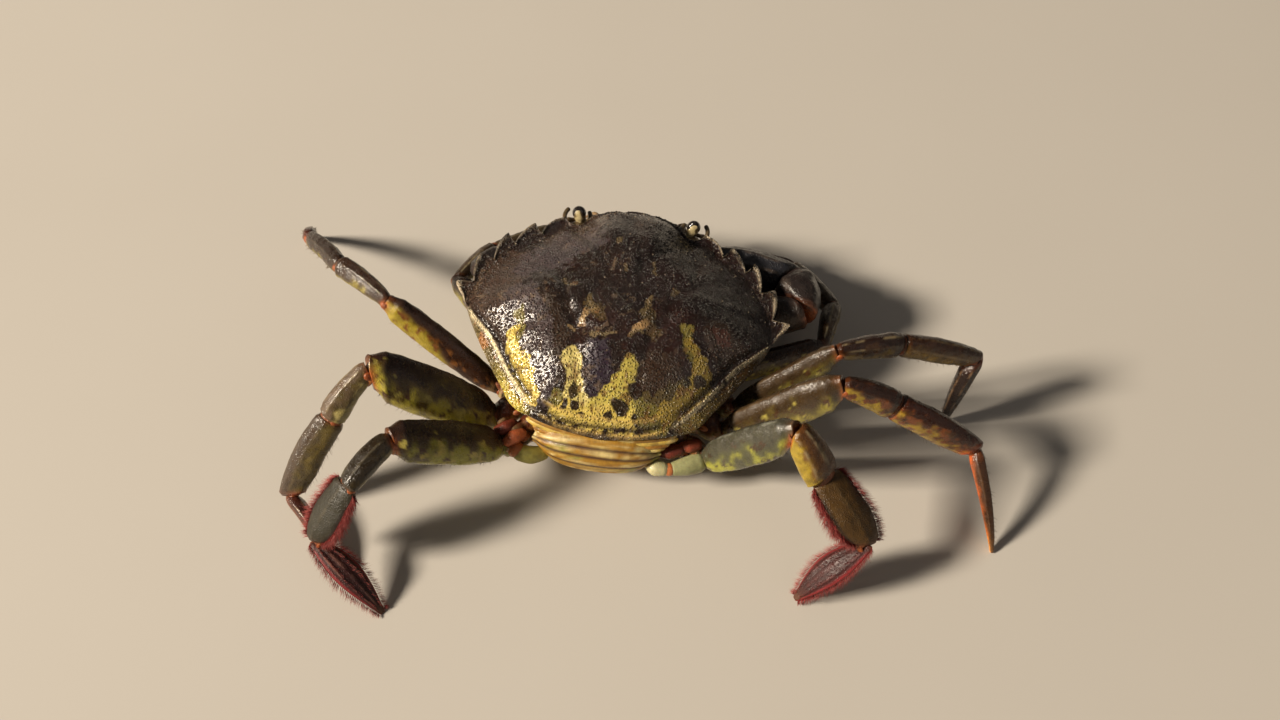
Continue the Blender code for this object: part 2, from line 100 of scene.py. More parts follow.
def smoothLine(table, at):  # a soft curve through rows of (position, value)
    rows = np.asarray(table, float)
    x, y = rows[:, 0], rows[:, 1]
    slope = np.gradient(y, x)
    k = np.clip(np.searchsorted(x, at, side="right") - 1, 0, len(x) - 2)
    gap = x[k + 1] - x[k]
    t = np.clip((at - x[k]) / gap, 0, 1)
    return ((2 * t**3 - 3 * t**2 + 1) * y[k] + (t**3 - 2 * t**2 + t) * gap * slope[k]
            + (3 * t**2 - 2 * t**3) * y[k + 1] + (t**3 - t**2) * gap * slope[k + 1])


def smoothPath(points, count):  # evenly spaced points on a soft curve through a few
    points = np.asarray(points, float)
    run = np.concatenate([[0], np.cumsum(np.linalg.norm(np.diff(points, axis=0), axis=1))])
    at = np.linspace(0, run[-1], count)
    return np.stack([smoothLine(np.stack([run, column], -1), at) for column in points.T], -1)


def latticeNoise(points, size, seed=0):
    spots = np.asarray(points, float) / size + seed * 17.31
    cell = np.floor(spots).astype(np.int64)
    part = spots - cell
    part = part * part * (3 - 2 * part)
    total = np.zeros(spots.shape[:-1])
    for corner in range(8):
        bits = np.array([corner & 1, corner >> 1 & 1, corner >> 2])
        key = ((cell + bits) * [73856093, 19349663, 83492791]).sum(-1) & 0x7FFFFFFF
        key = ((key ^ (key >> 13)) * 1274126177) & 0x7FFFFFFF
        value = ((key ^ (key >> 16)) & 0xFFFF) / 32767.5 - 1
        total += value * np.prod(np.where(bits, part, 1 - part), axis=-1)
    return total


def cloudNoise(points, size, seed=0, layers=3):
    return sum(latticeNoise(points, size / 2**k, seed + k) / 2**k for k in range(layers))


def strokeReach(x, y, strokes):  # 1 inside short strokes (x, y, x, y, radius), falling to 0 round them
    found = np.zeros(np.shape(x))
    for *ends, radius in strokes:
        found = np.maximum(found, 1 - step(0.3 * radius, 1.7 * radius, lineDistance(x, y, *ends)))
    return found


def lineDistance(x, y, ax, ay, bx, by):
    run = np.array([bx - ax, by - ay])
    share = np.clip(((x - ax) * run[0] + (y - ay) * run[1]) / max(run @ run, 1e-6), 0, 1)
    return np.hypot(x - ax - run[0] * share, y - ay - run[1] * share)


def pathDistance(x, y, path):
    return np.min([lineDistance(x, y, *a, *b) for a, b in zip(path, path[1:])], axis=0)


# ways of making a finish from nodes

def startFinish(name):
    finish = bpy.data.materials.new(name)
    finish.use_nodes = True
    return finish, finish.node_tree, finish.node_tree.nodes["Principled BSDF"]


def addNode(tree, kind, inputs=None, **settings):  # a shader node's kind goes without its first words
    made = tree.nodes.new(kind if "Node" in kind else "ShaderNode" + kind)
    for key, value in settings.items():
        setattr(made, key, value)
    feed(tree, made, inputs or {})
    return made


def feed(tree, node, inputs):  # links and plain values alike
    for key, value in inputs.items():
        if isinstance(value, bpy.types.NodeSocket):
            tree.links.new(value, node.inputs[key])
        else:
            node.inputs[key].default_value = value


def readTint(tree):
    return addNode(tree, "Attribute", attribute_name="tint").outputs["Color"]


def overPlace(tree):  # object coordinates in millimetres
    where = addNode(tree, "TexCoord").outputs["Object"]
    return addNode(tree, "Mapping", {"Vector": where, "Scale": (1 / mm,) * 3}).outputs[0]


def noise(tree, where, size, detail=3.0, rough=0.55, shift=0.0):
    return addNode(tree, "TexNoise", {"Vector": where, "W": shift, "Scale": 1 / size, "Detail": detail,
                                      "Roughness": rough}, noise_dimensions="4D").outputs[0]


def cells(tree, where, size, feature="F1"):
    return addNode(tree, "TexVoronoi", {"Vector": where, "Scale": 1 / size}, feature=feature).outputs[0]


def remap(tree, value, low, high, newLow=0.0, newHigh=1.0, soft=True):
    kind = "SMOOTHSTEP" if soft else "LINEAR"
    return addNode(tree, "MapRange", {0: value, 1: low, 2: high, 3: newLow, 4: newHigh},
                   interpolation_type=kind).outputs[0]


def sums(tree, how, a, b):
    return addNode(tree, "Math", {0: a, 1: b}, operation=how).outputs[0]


def blend(tree, share, a, b, how="MIX"):
    a = a if isinstance(a, bpy.types.NodeSocket) else (*a, 1.0)
    b = b if isinstance(b, bpy.types.NodeSocket) else (*b, 1.0)
    return addNode(tree, "Mix", {0: share, 6: a, 7: b}, data_type="RGBA", blend_type=how).outputs[2]


def bump(tree, height, depth, strength=1.0, under=None):
    inputs = {"Height": height, "Distance": depth * mm, "Strength": strength}
    return addNode(tree, "Bump", {**inputs, "Normal": under} if under else inputs).outputs[0]


def finishWith(tree, shader, colour, rough, normal, coat=0.0, coatRough=0.1, thin=0.0):
    feed(tree, shader, {"Base Color": colour, "Roughness": rough, "Specular IOR Level": 0.42,
                        "Coat Weight": coat, "Coat Roughness": coatRough, "Subsurface Weight": thin,
                        "Subsurface Radius": (1.0, 0.45, 0.2), "Subsurface Scale": 0.6 * mm})
    if normal:
        feed(tree, shader, {"Normal": normal, "Coat Normal": normal})


# ways of making a mesh

def makePiece(name, points, faces, finish, replaced=(), tint=None):
    mesh = bpy.data.meshes.new(name)
    mesh.from_pydata((np.asarray(points) * mm).tolist(), [], faces)
    mesh.update()
    if tint is not None:
        setTint(mesh, tint)
    if meshVolume(mesh) < 0:
        mesh.flip_normals()
    mesh.shade_smooth()
    mesh.materials.append(finish)
    return settle(addObject(name, mesh), replaced)


# a tube, with a tint for each point of its grid

def skinPiece(name, points, tint, finish, replaced=()):
    makePiece(name, points, tubeFaces(*tint.shape[:2]), finish, replaced, padMarks(tint))


def setTint(mesh, tint):
    whole = np.ones((len(tint), 4), np.float32)
    whole[:, :3] = tint
    mesh.attributes.new("tint", "FLOAT_COLOR", "POINT").data.foreach_set("color", whole.ravel())


def addObject(name, data):
    made = bpy.data.objects.new(name, data)
    bpy.context.scene.collection.objects.link(made)
    return made


def settle(piece, replaced=()):
    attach(piece, "root")
    if replaced:
        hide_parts(*replaced)
    return piece


def meshVolume(mesh):
    points = np.empty(len(mesh.vertices) * 3)
    mesh.vertices.foreach_get("co", points)
    mesh.calc_loop_triangles()
    index = np.empty(len(mesh.loop_triangles) * 3, np.int32)
    mesh.loop_triangles.foreach_get("vertices", index)
    corners = points.reshape(-1, 3)[index].reshape(-1, 3, 3)
    return np.linalg.det(corners).sum()


def tubeFaces(rows, cols, start=0):  # a closed tube over a grid of points, with the two end points after it
    index = np.arange(rows * cols).reshape(rows, cols) + start
    after = np.roll(index, -1, axis=1)
    faces = np.stack([index[:-1], after[:-1], after[1:], index[1:]], -1).reshape(-1, 4).tolist()
    first, last = start + rows * cols, start + rows * cols + 1
    faces += [[first, b, a] for a, b in zip(index[0].tolist(), after[0].tolist())]
    faces += [[last, a, b] for a, b in zip(index[-1].tolist(), after[-1].tolist())]
    return faces


def tube(grid, firstIn=0.0, lastIn=0.0):  # the points of such a tube, its ends sunk by a share of a row
    first = mix(grid[0].mean(0), grid[1].mean(0), firstIn)
    last = mix(grid[-1].mean(0), grid[-2].mean(0), lastIn)
    return np.concatenate([grid.reshape(-1, 3), [first, last]])


def padMarks(values):  # marks of the grid, and of its two end points
    return np.concatenate([values.reshape(-1, 3), values[0].mean(0)[None], values[-1].mean(0)[None]])


class Bodies:  # several closed bodies gathered into one piece
    def __init__(self):
        self.points, self.faces, self.tints, self.count = [], [], [], 0

    def add(self, points, faces, tint):
        self.faces += [[k + self.count for k in face] for face in faces]
        self.points.append(points)
        self.tints.append(np.broadcast_to(tint, (len(points), 3)))
        self.count += len(points)

    def make(self, name, finish, replaced=()):
        makePiece(name, np.concatenate(self.points), self.faces, finish, replaced,
                  np.concatenate(self.tints))


def rod(path, radii, sides=12, flat=1.0):  # a rounded rod along a path
    path = np.asarray(path, float)
    radii = np.broadcast_to(np.asarray(radii, float), (len(path),))
    run = unit(np.gradient(path, axis=0))
    across = unit(np.cross(run, (0.0, 0.0, 1.0)))
    over = np.cross(across, run)
    turn = ringTurn(sides)[0]
    wide, tall = np.cos(turn)[None, :, None], (np.sin(turn) * flat)[None, :, None]
    ring = across[:, None] * wide + over[:, None] * tall
    rows = list(path[:, None] + ring * radii[:, None, None])
    for k, sign in ((0, -1), (-1, 1)):
        for angle in (0.6, 1.15):
            away = run[k] * sign * radii[k] * math.sin(angle) * 0.8
            rows.insert(0 if k == 0 else len(rows), path[k] + away + ring[k] * radii[k] * math.cos(angle))
    return tube(np.array(rows)), tubeFaces(len(rows), sides)


def ball(centre, axes, radii, rows=9, sides=16):  # a closed rounded body with its own axes
    rise = np.linspace(-1, 1, rows + 2)[1:-1] * np.pi / 2
    turn = 2 * np.pi * np.arange(sides) / sides
    grid = np.stack([np.cos(rise)[:, None] * np.cos(turn) * radii[0],
                     np.cos(rise)[:, None] * np.sin(turn) * radii[1],
                     np.repeat(np.sin(rise)[:, None], sides, 1) * radii[2]], -1)
    poles = np.array([[0, 0, -radii[2]], [0, 0, radii[2]]])
    local = np.concatenate([grid.reshape(-1, 3), poles])
    return np.asarray(centre) + local @ np.asarray(axes), tubeFaces(rows, sides)


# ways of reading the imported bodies

def nodeCorners(name):
    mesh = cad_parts[name].data
    points = np.empty(len(mesh.vertices) * 3, np.float32)
    mesh.vertices.foreach_get("co", points)
    index = np.empty(len(mesh.loops), np.int32)
    mesh.loops.foreach_get("vertex_index", index)
    return points.reshape(-1, 3)[index].astype(float).reshape(-1, 3, 3) / mm


def endCaps(name):  # the two flat ends of a body: middle and outward direction
    corners = nodeCorners(name)
    facing = unit(np.cross(corners[:, 1] - corners[:, 0], corners[:, 2] - corners[:, 0]))
    reach = (corners[:, 0] * facing).sum(1)
    same = (facing @ facing.T > 0.9999) & (abs(reach[:, None] - reach) < 0.02)
    found = []
    for group in np.unique(same[same.sum(1) >= 6], axis=0):
        rim = np.unique(np.round(corners[group].reshape(-1, 3), 2), axis=0)
        found.append((rim.mean(0), facing[group][0]))
    return found


def chainJoints(names):  # (place, direction) of each joint plane along a limb, with its two ends
    ends = [endCaps(name) for name in names]
    joints = []
    for before, after in zip(ends, ends[1:]):
        pairs = [(np.linalg.norm(a[0] - b[0]), k, m) for k, a in enumerate(before) for m,
                 b in enumerate(after)]
        _, k, m = min(pairs)
        joints.append(((before[k][0] + after[m][0]) / 2, unit(before[k][1] - after[m][1])))
    first = max(ends[0], key=lambda end: np.linalg.norm(end[0] - joints[0][0]))
    last = max(ends[-1], key=lambda end: np.linalg.norm(end[0] - joints[-1][0]))
    return [(first[0], -first[1])] + joints + [last]


def limbAxes(direction, lean=0.0):  # rearward and upward across a limb, its upper edge leaning forward
    up = unit(np.array([0, 0, 1.0]) - direction * direction[2])
    side = np.cross(direction, up)
    turn = math.radians(lean) * (1 if side[1] > 0 else -1)
    up, side = up * math.cos(turn) + side * math.sin(turn), side * math.cos(turn) - up * math.sin(turn)
    return (-side if side[1] > 0 else side), up


def girthOf(name, start, rear, up):  # a body's half height and half width
    away = nodeCorners(name).reshape(-1, 3) - start
    return np.ptp(away @ up) / 1.848, np.ptp(away @ rear) / 1.848


def ridgeField(turn, along, ridges, soft):  # heights of the ridges that run along a limb
    field = np.zeros((along.shape[0], turn.shape[1]))
    for angle, width, height, first, last in ridges:
        field = field + height * swell(turnFrom(turn, math.radians(angle)), 0, width) * step(
            first - soft, first + soft, along) * (1 - step(last - soft, last + soft, along))
    return field


plainLook = {  # what a look doesn't say itself; shapes first, then colours
    "square": 0.88, "lip": 0.04, "round": 0.16, "keel": 0.15, "tallEnd": 1.0, "bow": 0.0, "lump": 2.2,
    "lumpHeight": 0.1, "ridges": (), "mottle": 0.3, "mottleSize": 1.6, "border": 0.2, "soft": 0.25,
    "rearward": 0.45, "spots": (), "bands": (), "crestHow": 0.6, "flat": False}
endRoom, endReach = 0.1, 1.1  # gap at a joint's plane, and how far an end may stretch past it


# one segment of a limb between two joint planes

def segmentGrid(start, end, shape, girth, rear, up, look, rows, cols):
    direction = unit(end[0] - start[0])
    length = np.linalg.norm(end[0] - start[0])
    t = (1 - np.cos(np.linspace(0, math.pi, rows))) / 2
    t = mix(np.linspace(0, 1, rows), t, 0.55)[:, None]
    turn = ringTurn(cols)
    fore, over = [squared(wave, look["square"]) for wave in (np.cos(turn), np.sin(turn))]
    lip = look["lip"]
    size = smoothLine(shape, t)
    size = size * (1 - 0.14 * (1 - step(0, lip, t)) - look["round"] * (1 - step(0, lip, 1 - t)))
    size = size * (1 + 0.04 * swell(t, 1 - lip, 0.02))
    wide = girth[1] * size * fore * (1 - look["keel"] * over)
    tall = girth[0] * size * over * mix(1, look["tallEnd"], t**1.5)
    ridge = ridgeField(turn, t, look["ridges"], 0.06)
    outward = unit((np.cos(turn) / girth[1])[..., None] * rear + (np.sin(turn) / girth[0])[..., None] * up)
    ridged = outward * ridge[..., None] * np.sqrt(size)[..., None]
    across = wide[..., None] * rear + tall[..., None] * up + ridged
    across = across + (look["bow"] * 4 * t * (1 - t))[..., None] * up
    atStart = (endRoom - across @ start[1]) / (direction @ start[1])
    atEnd = (-endRoom - across @ end[1]) / (direction @ end[1])
    atStart = np.where(atStart < 0, endReach * np.tanh(atStart / endReach), atStart)
    atEnd = np.where(atEnd > 0, endReach * np.tanh(atEnd / endReach), atEnd)
    run = t * length + atStart * (1 - t) ** 2 + atEnd * t**2
    grid = start[0] + run[..., None] * direction + across
    t, fore, over = [np.broadcast_to(value, (rows, cols)) for value in (t, np.cos(turn), np.sin(turn))]
    return grid, t, fore, over, ridge, outward


def roughen(grid, outward, look, seed):  # low swellings and pits over a plate
    height = look["lumpHeight"] * cloudNoise(grid, look["lump"], seed)
    return grid + outward * (height + 0.03 * cloudNoise(grid, 0.55, seed + 7, 2))[..., None]


def paintLimb(look, grid, t, rear, over, ridge, seed):
    upper, mid, lower = look["tones"]
    border, soft = look["border"], look["soft"]
    mottle = cloudNoise(grid, look["mottleSize"], seed + 3)
    height = over * 0.75 - rear * look["rearward"] + mottle * look["mottle"]
    if "borderEnd" in look:
        border = mix(border, look["borderEnd"], step(0.25, 0.75, t))
    tint = laid(lower, mid, step(border - soft - 0.35, border - soft + 0.05, height))
    tint = laid(tint, upper, step(border - soft, border + soft, height))
    for colour, size, low, reach in look["spots"]:  # colour, size, threshold and where by height
        near = 1 - step(reach - 0.2, reach + 0.2, height)
        tint = laid(tint, colour, step(low, low + 0.2, cloudNoise(grid, size, seed + 11, 2)) * near)
    below = 0.15 + 0.85 * (1 - step(-0.1, 0.65, over))
    for colour, at, reach, how in look["bands"]:
        tint = laid(tint, colour, swell(t, at + 0.02 * mottle, reach) * how * below)
    # a colour laid along the ridge tops of each segment: painted highlight on the ridges
    if ridge.max() > 0 and "crest" in look:
        crest = step(0.35, 0.95, ridge / ridge.max()) * look["crestHow"] * step(-0.5, 0.3, mottle)
        tint = laid(tint, look["crest"], crest)
    return np.clip(tint * (1 + 0.16 * cloudNoise(grid, 0.7, seed + 5, 2))[..., None], 0, 1)


# the finish of the horny skin: its colour comes from the tint laid on each piece

def shellFinish(name, rough=0.3, grain=0.35, grainDepth=0.1, coat=0.35, thin=0.04, fleck=0.0):
    finish, tree, shader = startFinish(name)
    where = overPlace(tree)
    tint = readTint(tree)
    cloud = noise(tree, where, 0.9, 5, 0.62)
    colour = blend(tree, remap(tree, cloud, 0.3, 0.75, 0.0, 0.55), tint, (0.35, 0.33, 0.32), "MULTIPLY")
    light = noise(tree, where, 0.32, 3, 0.6, 3.7)
    colour = blend(tree, remap(tree, light, 0.6, 0.8, 0.0, 0.45), colour, (1.6, 1.5, 1.35), "MULTIPLY")
    grains = cells(tree, where, grain)
    if fleck:
        dots = remap(tree, grains, 0.08, 0.3, fleck, 0.0)
        patchy = remap(tree, noise(tree, where, 3.2, 2, 0.5, 9.0), 0.45, 0.62)
        colour = blend(tree, sums(tree, "MULTIPLY", dots, patchy), colour, (0.52, 0.47, 0.38))
    heights = remap(tree, grains, 0.0, 0.55, 1.0, 0.0)
    normal = bump(tree, heights, grainDepth, 0.8)
    normal = bump(tree, noise(tree, where, 0.16, 4, 0.65, 1.3), 0.07, 0.7, normal)
    roughness = remap(tree, noise(tree, where, 1.7, 4, 0.6, 5.0), 0.3, 0.7, rough - 0.1, rough + 0.16)
    finishWith(tree, shader, colour, roughness, normal, coat, 0.08, thin)
    return finish


plateFinish = shellFinish("shellSkin", 0.21, 0.42, 0.6, 0.5, fleck=0.18)
limbFinish = shellFinish("limbSkin", 0.27, 0.3, 0.05, 0.34)
paddleFinish = shellFinish("paddleSkin", 0.46, 0.3, 0.08, 0.05)
clawFinish = shellFinish("clawSkin", 0.34, 0.42, 0.09, 0.3)
bellyFinish = shellFinish("bellySkin", 0.42, 0.3, 0.04, 0.22, thin=0.1)
softFinish = shellFinish("jointSkin", 0.42, 0.25, 0.05, 0.25, thin=0.18)


# legs: how each segment looks, from its colours (linear) to its ridges (degrees, width, height, from, to)
merusShape = ((0.0, 0.58), (0.07, 0.74), (0.28, 0.94), (0.58, 1.0), (0.86, 0.94), (1.0, 0.8))
carpusShape = ((0.0, 0.66), (0.2, 0.8), (0.6, 0.96), (0.84, 0.99), (1.0, 0.9))
propodusShape = ((0.0, 0.94), (0.1, 0.97), (0.45, 1.0), (0.8, 0.89), (0.94, 0.76), (1.0, 0.68))
paddleShape = ((0.0, 0.8), (0.12, 0.87), (0.4, 0.99), (0.65, 1.0), (0.9, 0.77), (1.0, 0.56))
hipShape = ((0.0, 1.02), (0.15, 1.14), (0.42, 1.12), (0.52, 1.0), (0.62, 1.08), (0.85, 1.1), (1.0, 0.9))

orangeJoint = (0.5, 0.13, 0.025)
creamJoint = (0.66, 0.52, 0.34)
legLook = {
    "hip": {
        "tones": ((0.1, 0.022, 0.008), (0.26, 0.1, 0.025), (0.34, 0.27, 0.085)), "border": 0.0,
        "mottle": 0.6, "spots": (((0.24, 0.13, 0.035), 1.2, 0.25, 0.4),),
        "bands": (((0.5, 0.32, 0.13), 0.97, 0.03, 0.8), ((0.4, 0.13, 0.03), 0.52, 0.03, 1.0),
                  ((0.3, 0.16, 0.05), 0.04, 0.05, 0.6)),
        "ridges": ((90, 0.3, 0.22, 0.15, 0.85), (0, 0.3, 0.2, 0.15, 0.85)), "crest": (0.4, 0.27, 0.13)},
    "merus": {
        "tones": ((0.03, 0.012, 0.006), (0.1, 0.06, 0.016), (0.33, 0.27, 0.04)), "border": -0.15,
        "mottle": 0.55, "mottleSize": 2.8, "keel": 0.22, "lip": 0.1, "round": 0.24,
        "spots": (((0.075, 0.032, 0.012), 0.9, 0.4, 0.0), ((0.48, 0.4, 0.09), 1.3, 0.5, -0.05)),
        "bands": ((orangeJoint, 1.0, 0.03, 1.0), ((0.36, 0.28, 0.13), 0.05, 0.02, 0.5)),
        "ridges": ((90, 0.16, 0.14, 0.1, 0.9), (-40, 0.2, 0.1, 0.1, 0.9), (200, 0.22, 0.1, 0.1, 0.9)),
        "crest": (0.24, 0.16, 0.09), "crestHow": 0.22},
    "carpus": {
        "tones": ((0.056, 0.034, 0.017), (0.1, 0.07, 0.024), (0.24, 0.18, 0.035)), "border": -0.1,
        "mottle": 0.4, "crest": (0.46, 0.38, 0.22), "crestHow": 0.45, "bow": 0.45, "lip": 0.07,
        "bands": ((orangeJoint, 0.0, 0.05, 0.9), ((0.26, 0.1, 0.03), 1.0, 0.03, 0.7)),
        "ridges": ((90, 0.16, 0.16, 0.06, 0.92), (38, 0.16, 0.13, 0.1, 0.88), (-15, 0.2, 0.08, 0.1, 0.86),
                   (150, 0.2, 0.08, 0.1, 0.86))},
    "propodus": {
        "tones": ((0.056, 0.036, 0.017), (0.075, 0.052, 0.018), (0.14, 0.1, 0.022)), "bow": 0.45,
        "border": -0.1, "mottle": 0.35, "crest": (0.24, 0.18, 0.09), "crestHow": 0.3,
        "bands": (((0.2, 0.07, 0.02), 0.0, 0.03, 0.6), ((0.46, 0.12, 0.07), 1.0, 0.06, 0.9)),
        "ridges": ((90, 0.14, 0.12, 0.05, 0.95), (20, 0.18, 0.09, 0.05, 0.95),
                   (-50, 0.18, 0.08, 0.05, 0.95), (160, 0.18, 0.09, 0.05, 0.95),
                   (230, 0.18, 0.08, 0.05, 0.95))},
    "dactylus": {
        "tones": ((0.046, 0.012, 0.008), (0.085, 0.024, 0.012), (0.14, 0.045, 0.018)), "border": 0.1,
        "mottle": 0.3, "square": 1.0, "keel": 0.0, "crest": (0.4, 0.25, 0.14), "crestHow": 0.4,
        "bands": (((0.4, 0.12, 0.06), 0.0, 0.05, 0.6), ((0.55, 0.26, 0.1), 1.0, 0.1, 0.9)),
        "ridges": tuple((angle, 0.2, 0.13, 0.04, 0.9) for angle in (0, 60, 120, 180, 240, 300))},
}
legChanges = {  # what differs on one leg
    ("L", 3): {
        "merus": {
            "tones": ((0.038, 0.015, 0.007), (0.075, 0.036, 0.012), (0.4, 0.3, 0.035)), "border": -0.95,
            "borderEnd": 0.12, "soft": 0.06, "mottle": 0.13, "mottleSize": 1.6,
            "spots": (((0.2, 0.075, 0.018), 1.0, 0.36, -0.05),)},
        "carpus": {
            "tones": ((0.04, 0.02, 0.012), (0.07, 0.042, 0.016), (0.3, 0.24, 0.04)), "border": -0.45,
            "crestHow": 0.3},
        "propodus": {
            "tones": ((0.022, 0.01, 0.005), (0.04, 0.02, 0.008), (0.17, 0.13, 0.024)), "border": -0.45,
            "crestHow": 0.15}},
    ("L", 4): {
        "merus": {
            "tones": ((0.03, 0.012, 0.006), (0.13, 0.085, 0.018), (0.5, 0.42, 0.05)), "border": -0.22,
            "soft": 0.18, "mottle": 0.55},
        "carpus": {"tones": ((0.13, 0.085, 0.05), (0.1, 0.07, 0.024), (0.34, 0.28, 0.1))},
        "propodus": {"tones": ((0.062, 0.038, 0.022), (0.075, 0.052, 0.018), (0.14, 0.1, 0.022))}},
    ("L", 5): {
        "merus": {
            "tones": ((0.034, 0.015, 0.008), (0.07, 0.045, 0.014), (0.38, 0.36, 0.04)), "border": -0.35,
            "soft": 0.13, "mottle": 0.5},
        "carpus": {
            "tones": ((0.022, 0.014, 0.006), (0.04, 0.028, 0.01), (0.16, 0.13, 0.04)), "border": -0.4,
            "crestHow": 0.12}},
    ("R", 5): {
        "merus": {
            "tones": ((0.06, 0.056, 0.036), (0.09, 0.088, 0.038), (0.38, 0.37, 0.045)), "border": -0.3,
            "crest": (0.6, 0.6, 0.5), "mottle": 0.55, "spots": (((0.06, 0.035, 0.018), 1.1, 0.4, 0.1),)},
        "carpus": {
            "tones": ((0.085, 0.034, 0.008), (0.15, 0.07, 0.012), (0.36, 0.25, 0.024)), "border": 0.1,
            "rearward": 0.75, "mottle": 0.35}},
    ("R", 4): {
        "merus": {
            "tones": ((0.058, 0.034, 0.014), (0.12, 0.085, 0.022), (0.4, 0.33, 0.04)), "border": -0.22,
            "mottle": 0.6},
        "carpus": {
            "tones": ((0.026, 0.007, 0.002), (0.1, 0.036, 0.006), (0.34, 0.22, 0.02)), "border": -0.02,
            "soft": 0.14, "mottle": 0.5, "crest": (0.08, 0.03, 0.014),
            "spots": (((0.14, 0.04, 0.01), 1.0, 0.22, 0.1),)},
        "propodus": {
            "tones": ((0.026, 0.006, 0.002), (0.08, 0.028, 0.005), (0.32, 0.2, 0.018)), "border": -0.14,
            "soft": 0.14, "mottle": 0.5, "crest": (0.14, 0.05, 0.02),
            "spots": (((0.16, 0.045, 0.01), 1.0, 0.22, 0.1),),
            "bands": (((0.34, 0.08, 0.025), 0.0, 0.03, 0.8), ((0.6, 0.1, 0.02), 1.0, 0.1, 1.0))},
        "dactylus": {
            "tones": ((0.055, 0.02, 0.006), (0.2, 0.05, 0.01), (0.5, 0.1, 0.02)), "border": 0.0,
            "crestHow": 0.1,
            "bands": (((0.45, 0.1, 0.03), 0.0, 0.08, 0.8), ((0.8, 0.34, 0.06), 0.98, 0.16, 1.0))}},
    ("R", 3): {
        "merus": {"tones": ((0.048, 0.028, 0.012), (0.1, 0.07, 0.022), (0.2, 0.16, 0.03))},
        "carpus": {
            "tones": ((0.02, 0.006, 0.002), (0.06, 0.026, 0.008), (0.17, 0.11, 0.022)),
            "crest": (0.46, 0.36, 0.2), "border": 0.05},
        "propodus": {
            "tones": ((0.034, 0.012, 0.004), (0.08, 0.042, 0.01), (0.18, 0.11, 0.022)), "border": 0.05,
            "crest": (0.4, 0.3, 0.16)},
        "dactylus": {"tones": ((0.012, 0.003, 0.001), (0.022, 0.007, 0.003), (0.08, 0.035, 0.015))}},
}
paddleLook = {  # the flat ends of the hindmost legs
    "plain": {"border": -0.4, "square": 1.0, "keel": 0.0, "rearward": 0.0, "bow": 0.3, "lip": 0.05},
    ("L", "propodus"): ((0.022, 0.018, 0.007), (0.03, 0.018, 0.007), (0.1, 0.045, 0.022)),
    ("L", "dactylus"): ((0.04, 0.007, 0.006), (0.055, 0.01, 0.008), (0.09, 0.018, 0.015)),
    ("R", "propodus"): ((0.085, 0.042, 0.008), (0.08, 0.024, 0.006), (0.14, 0.06, 0.02)),
    ("R", "dactylus"): ((0.04, 0.005, 0.004), (0.07, 0.01, 0.008), (0.12, 0.02, 0.017)),
}
leans = {("L", 3): 25, ("L", 4): 40, ("L", 5): 40, ("R", 3): -5, ("R", 4): 0, ("R", 5): 5}
margin = (0.27, 0.026, 0.028)  # crimson edge of the paddles


def lookOf(side, number, part):
    look = {**plainLook, **legLook[part], **legChanges.get((side, number), {}).get(part, {})}
    if number == 5 and part == "carpus":
        look["tallEnd"] = 0.62
    if number == 5 and part in ("propodus", "dactylus"):
        pad = part == "propodus"
        angles, high = ((90, 270), 0.08) if pad else ((55, 90, 125, 235, 270, 305), 0.2)
        look.update(paddleLook["plain"], tones=paddleLook[side, part], crestHow=0.15 if pad else 0.85,
                    ridges=tuple((angle, 0.09, high, 0.04, 0.93) for angle in angles),
                    crest=(0.16, 0.12, 0.06) if pad else (0.34, 0.15, 0.11))
        if side == "R" and not pad:
            look.update(crest=(0.15, 0.025, 0.02), crestHow=0.5)
    return look


def limbPiece(name, start, end, shape, look, lean, seed, finish):
    rear, up = limbAxes(unit(end[0] - start[0]), lean)
    girth = girthOf(name, start[0], rear, up)
    grid, t, fore, over, ridge, outward = segmentGrid(start, end, shape, girth, rear, up, look, 54, 64)
    grid = roughen(grid, outward, look, seed)
    tint = paintLimb(look, grid, t, fore, over, ridge, seed)
    if look["flat"]:
        edge = abs(fore)
        band = swell(edge, 0.86, 0.06) * step(0.08, 0.25, t) * step(-0.5, 0.2, over)
        tint = laid(tint, (0.016, 0.008, 0.006), band * 0.75)
        tint = laid(tint, margin, step(0.9, 0.98, edge) * step(0.02, 0.2, t))
    skinPiece(skinName(name), tube(grid, 0.6, 0.6), tint, finish, (name,))
    return limbFacts(start, end[0], rear, up, girth, grid, outward)


def skinName(name):
    return name.replace("_", "") + "Skin"


def limbFacts(start, end, rear, up, girth, grid, outward):
    return {"start": start[0], "run": end - start[0], "rear": rear, "up": up, "girth": girth, "grid": grid,
            "outward": np.broadcast_to(outward, grid.shape)}


def axesOf(limb):
    return np.stack([unit(limb["run"]), limb["rear"], limb["up"]])


leafShape = ((0, 0.5), (0.06, 0.62), (0.2, 0.86), (0.42, 1.0), (0.7, 0.74), (0.88, 0.42), (1, 0.2))
spikeShape = ((0, 0.82), (0.06, 1.0), (0.2, 0.98), (0.45, 0.86), (0.72, 0.62), (0.9, 0.42), (1, 0.3))
aboveFloor = 0.004


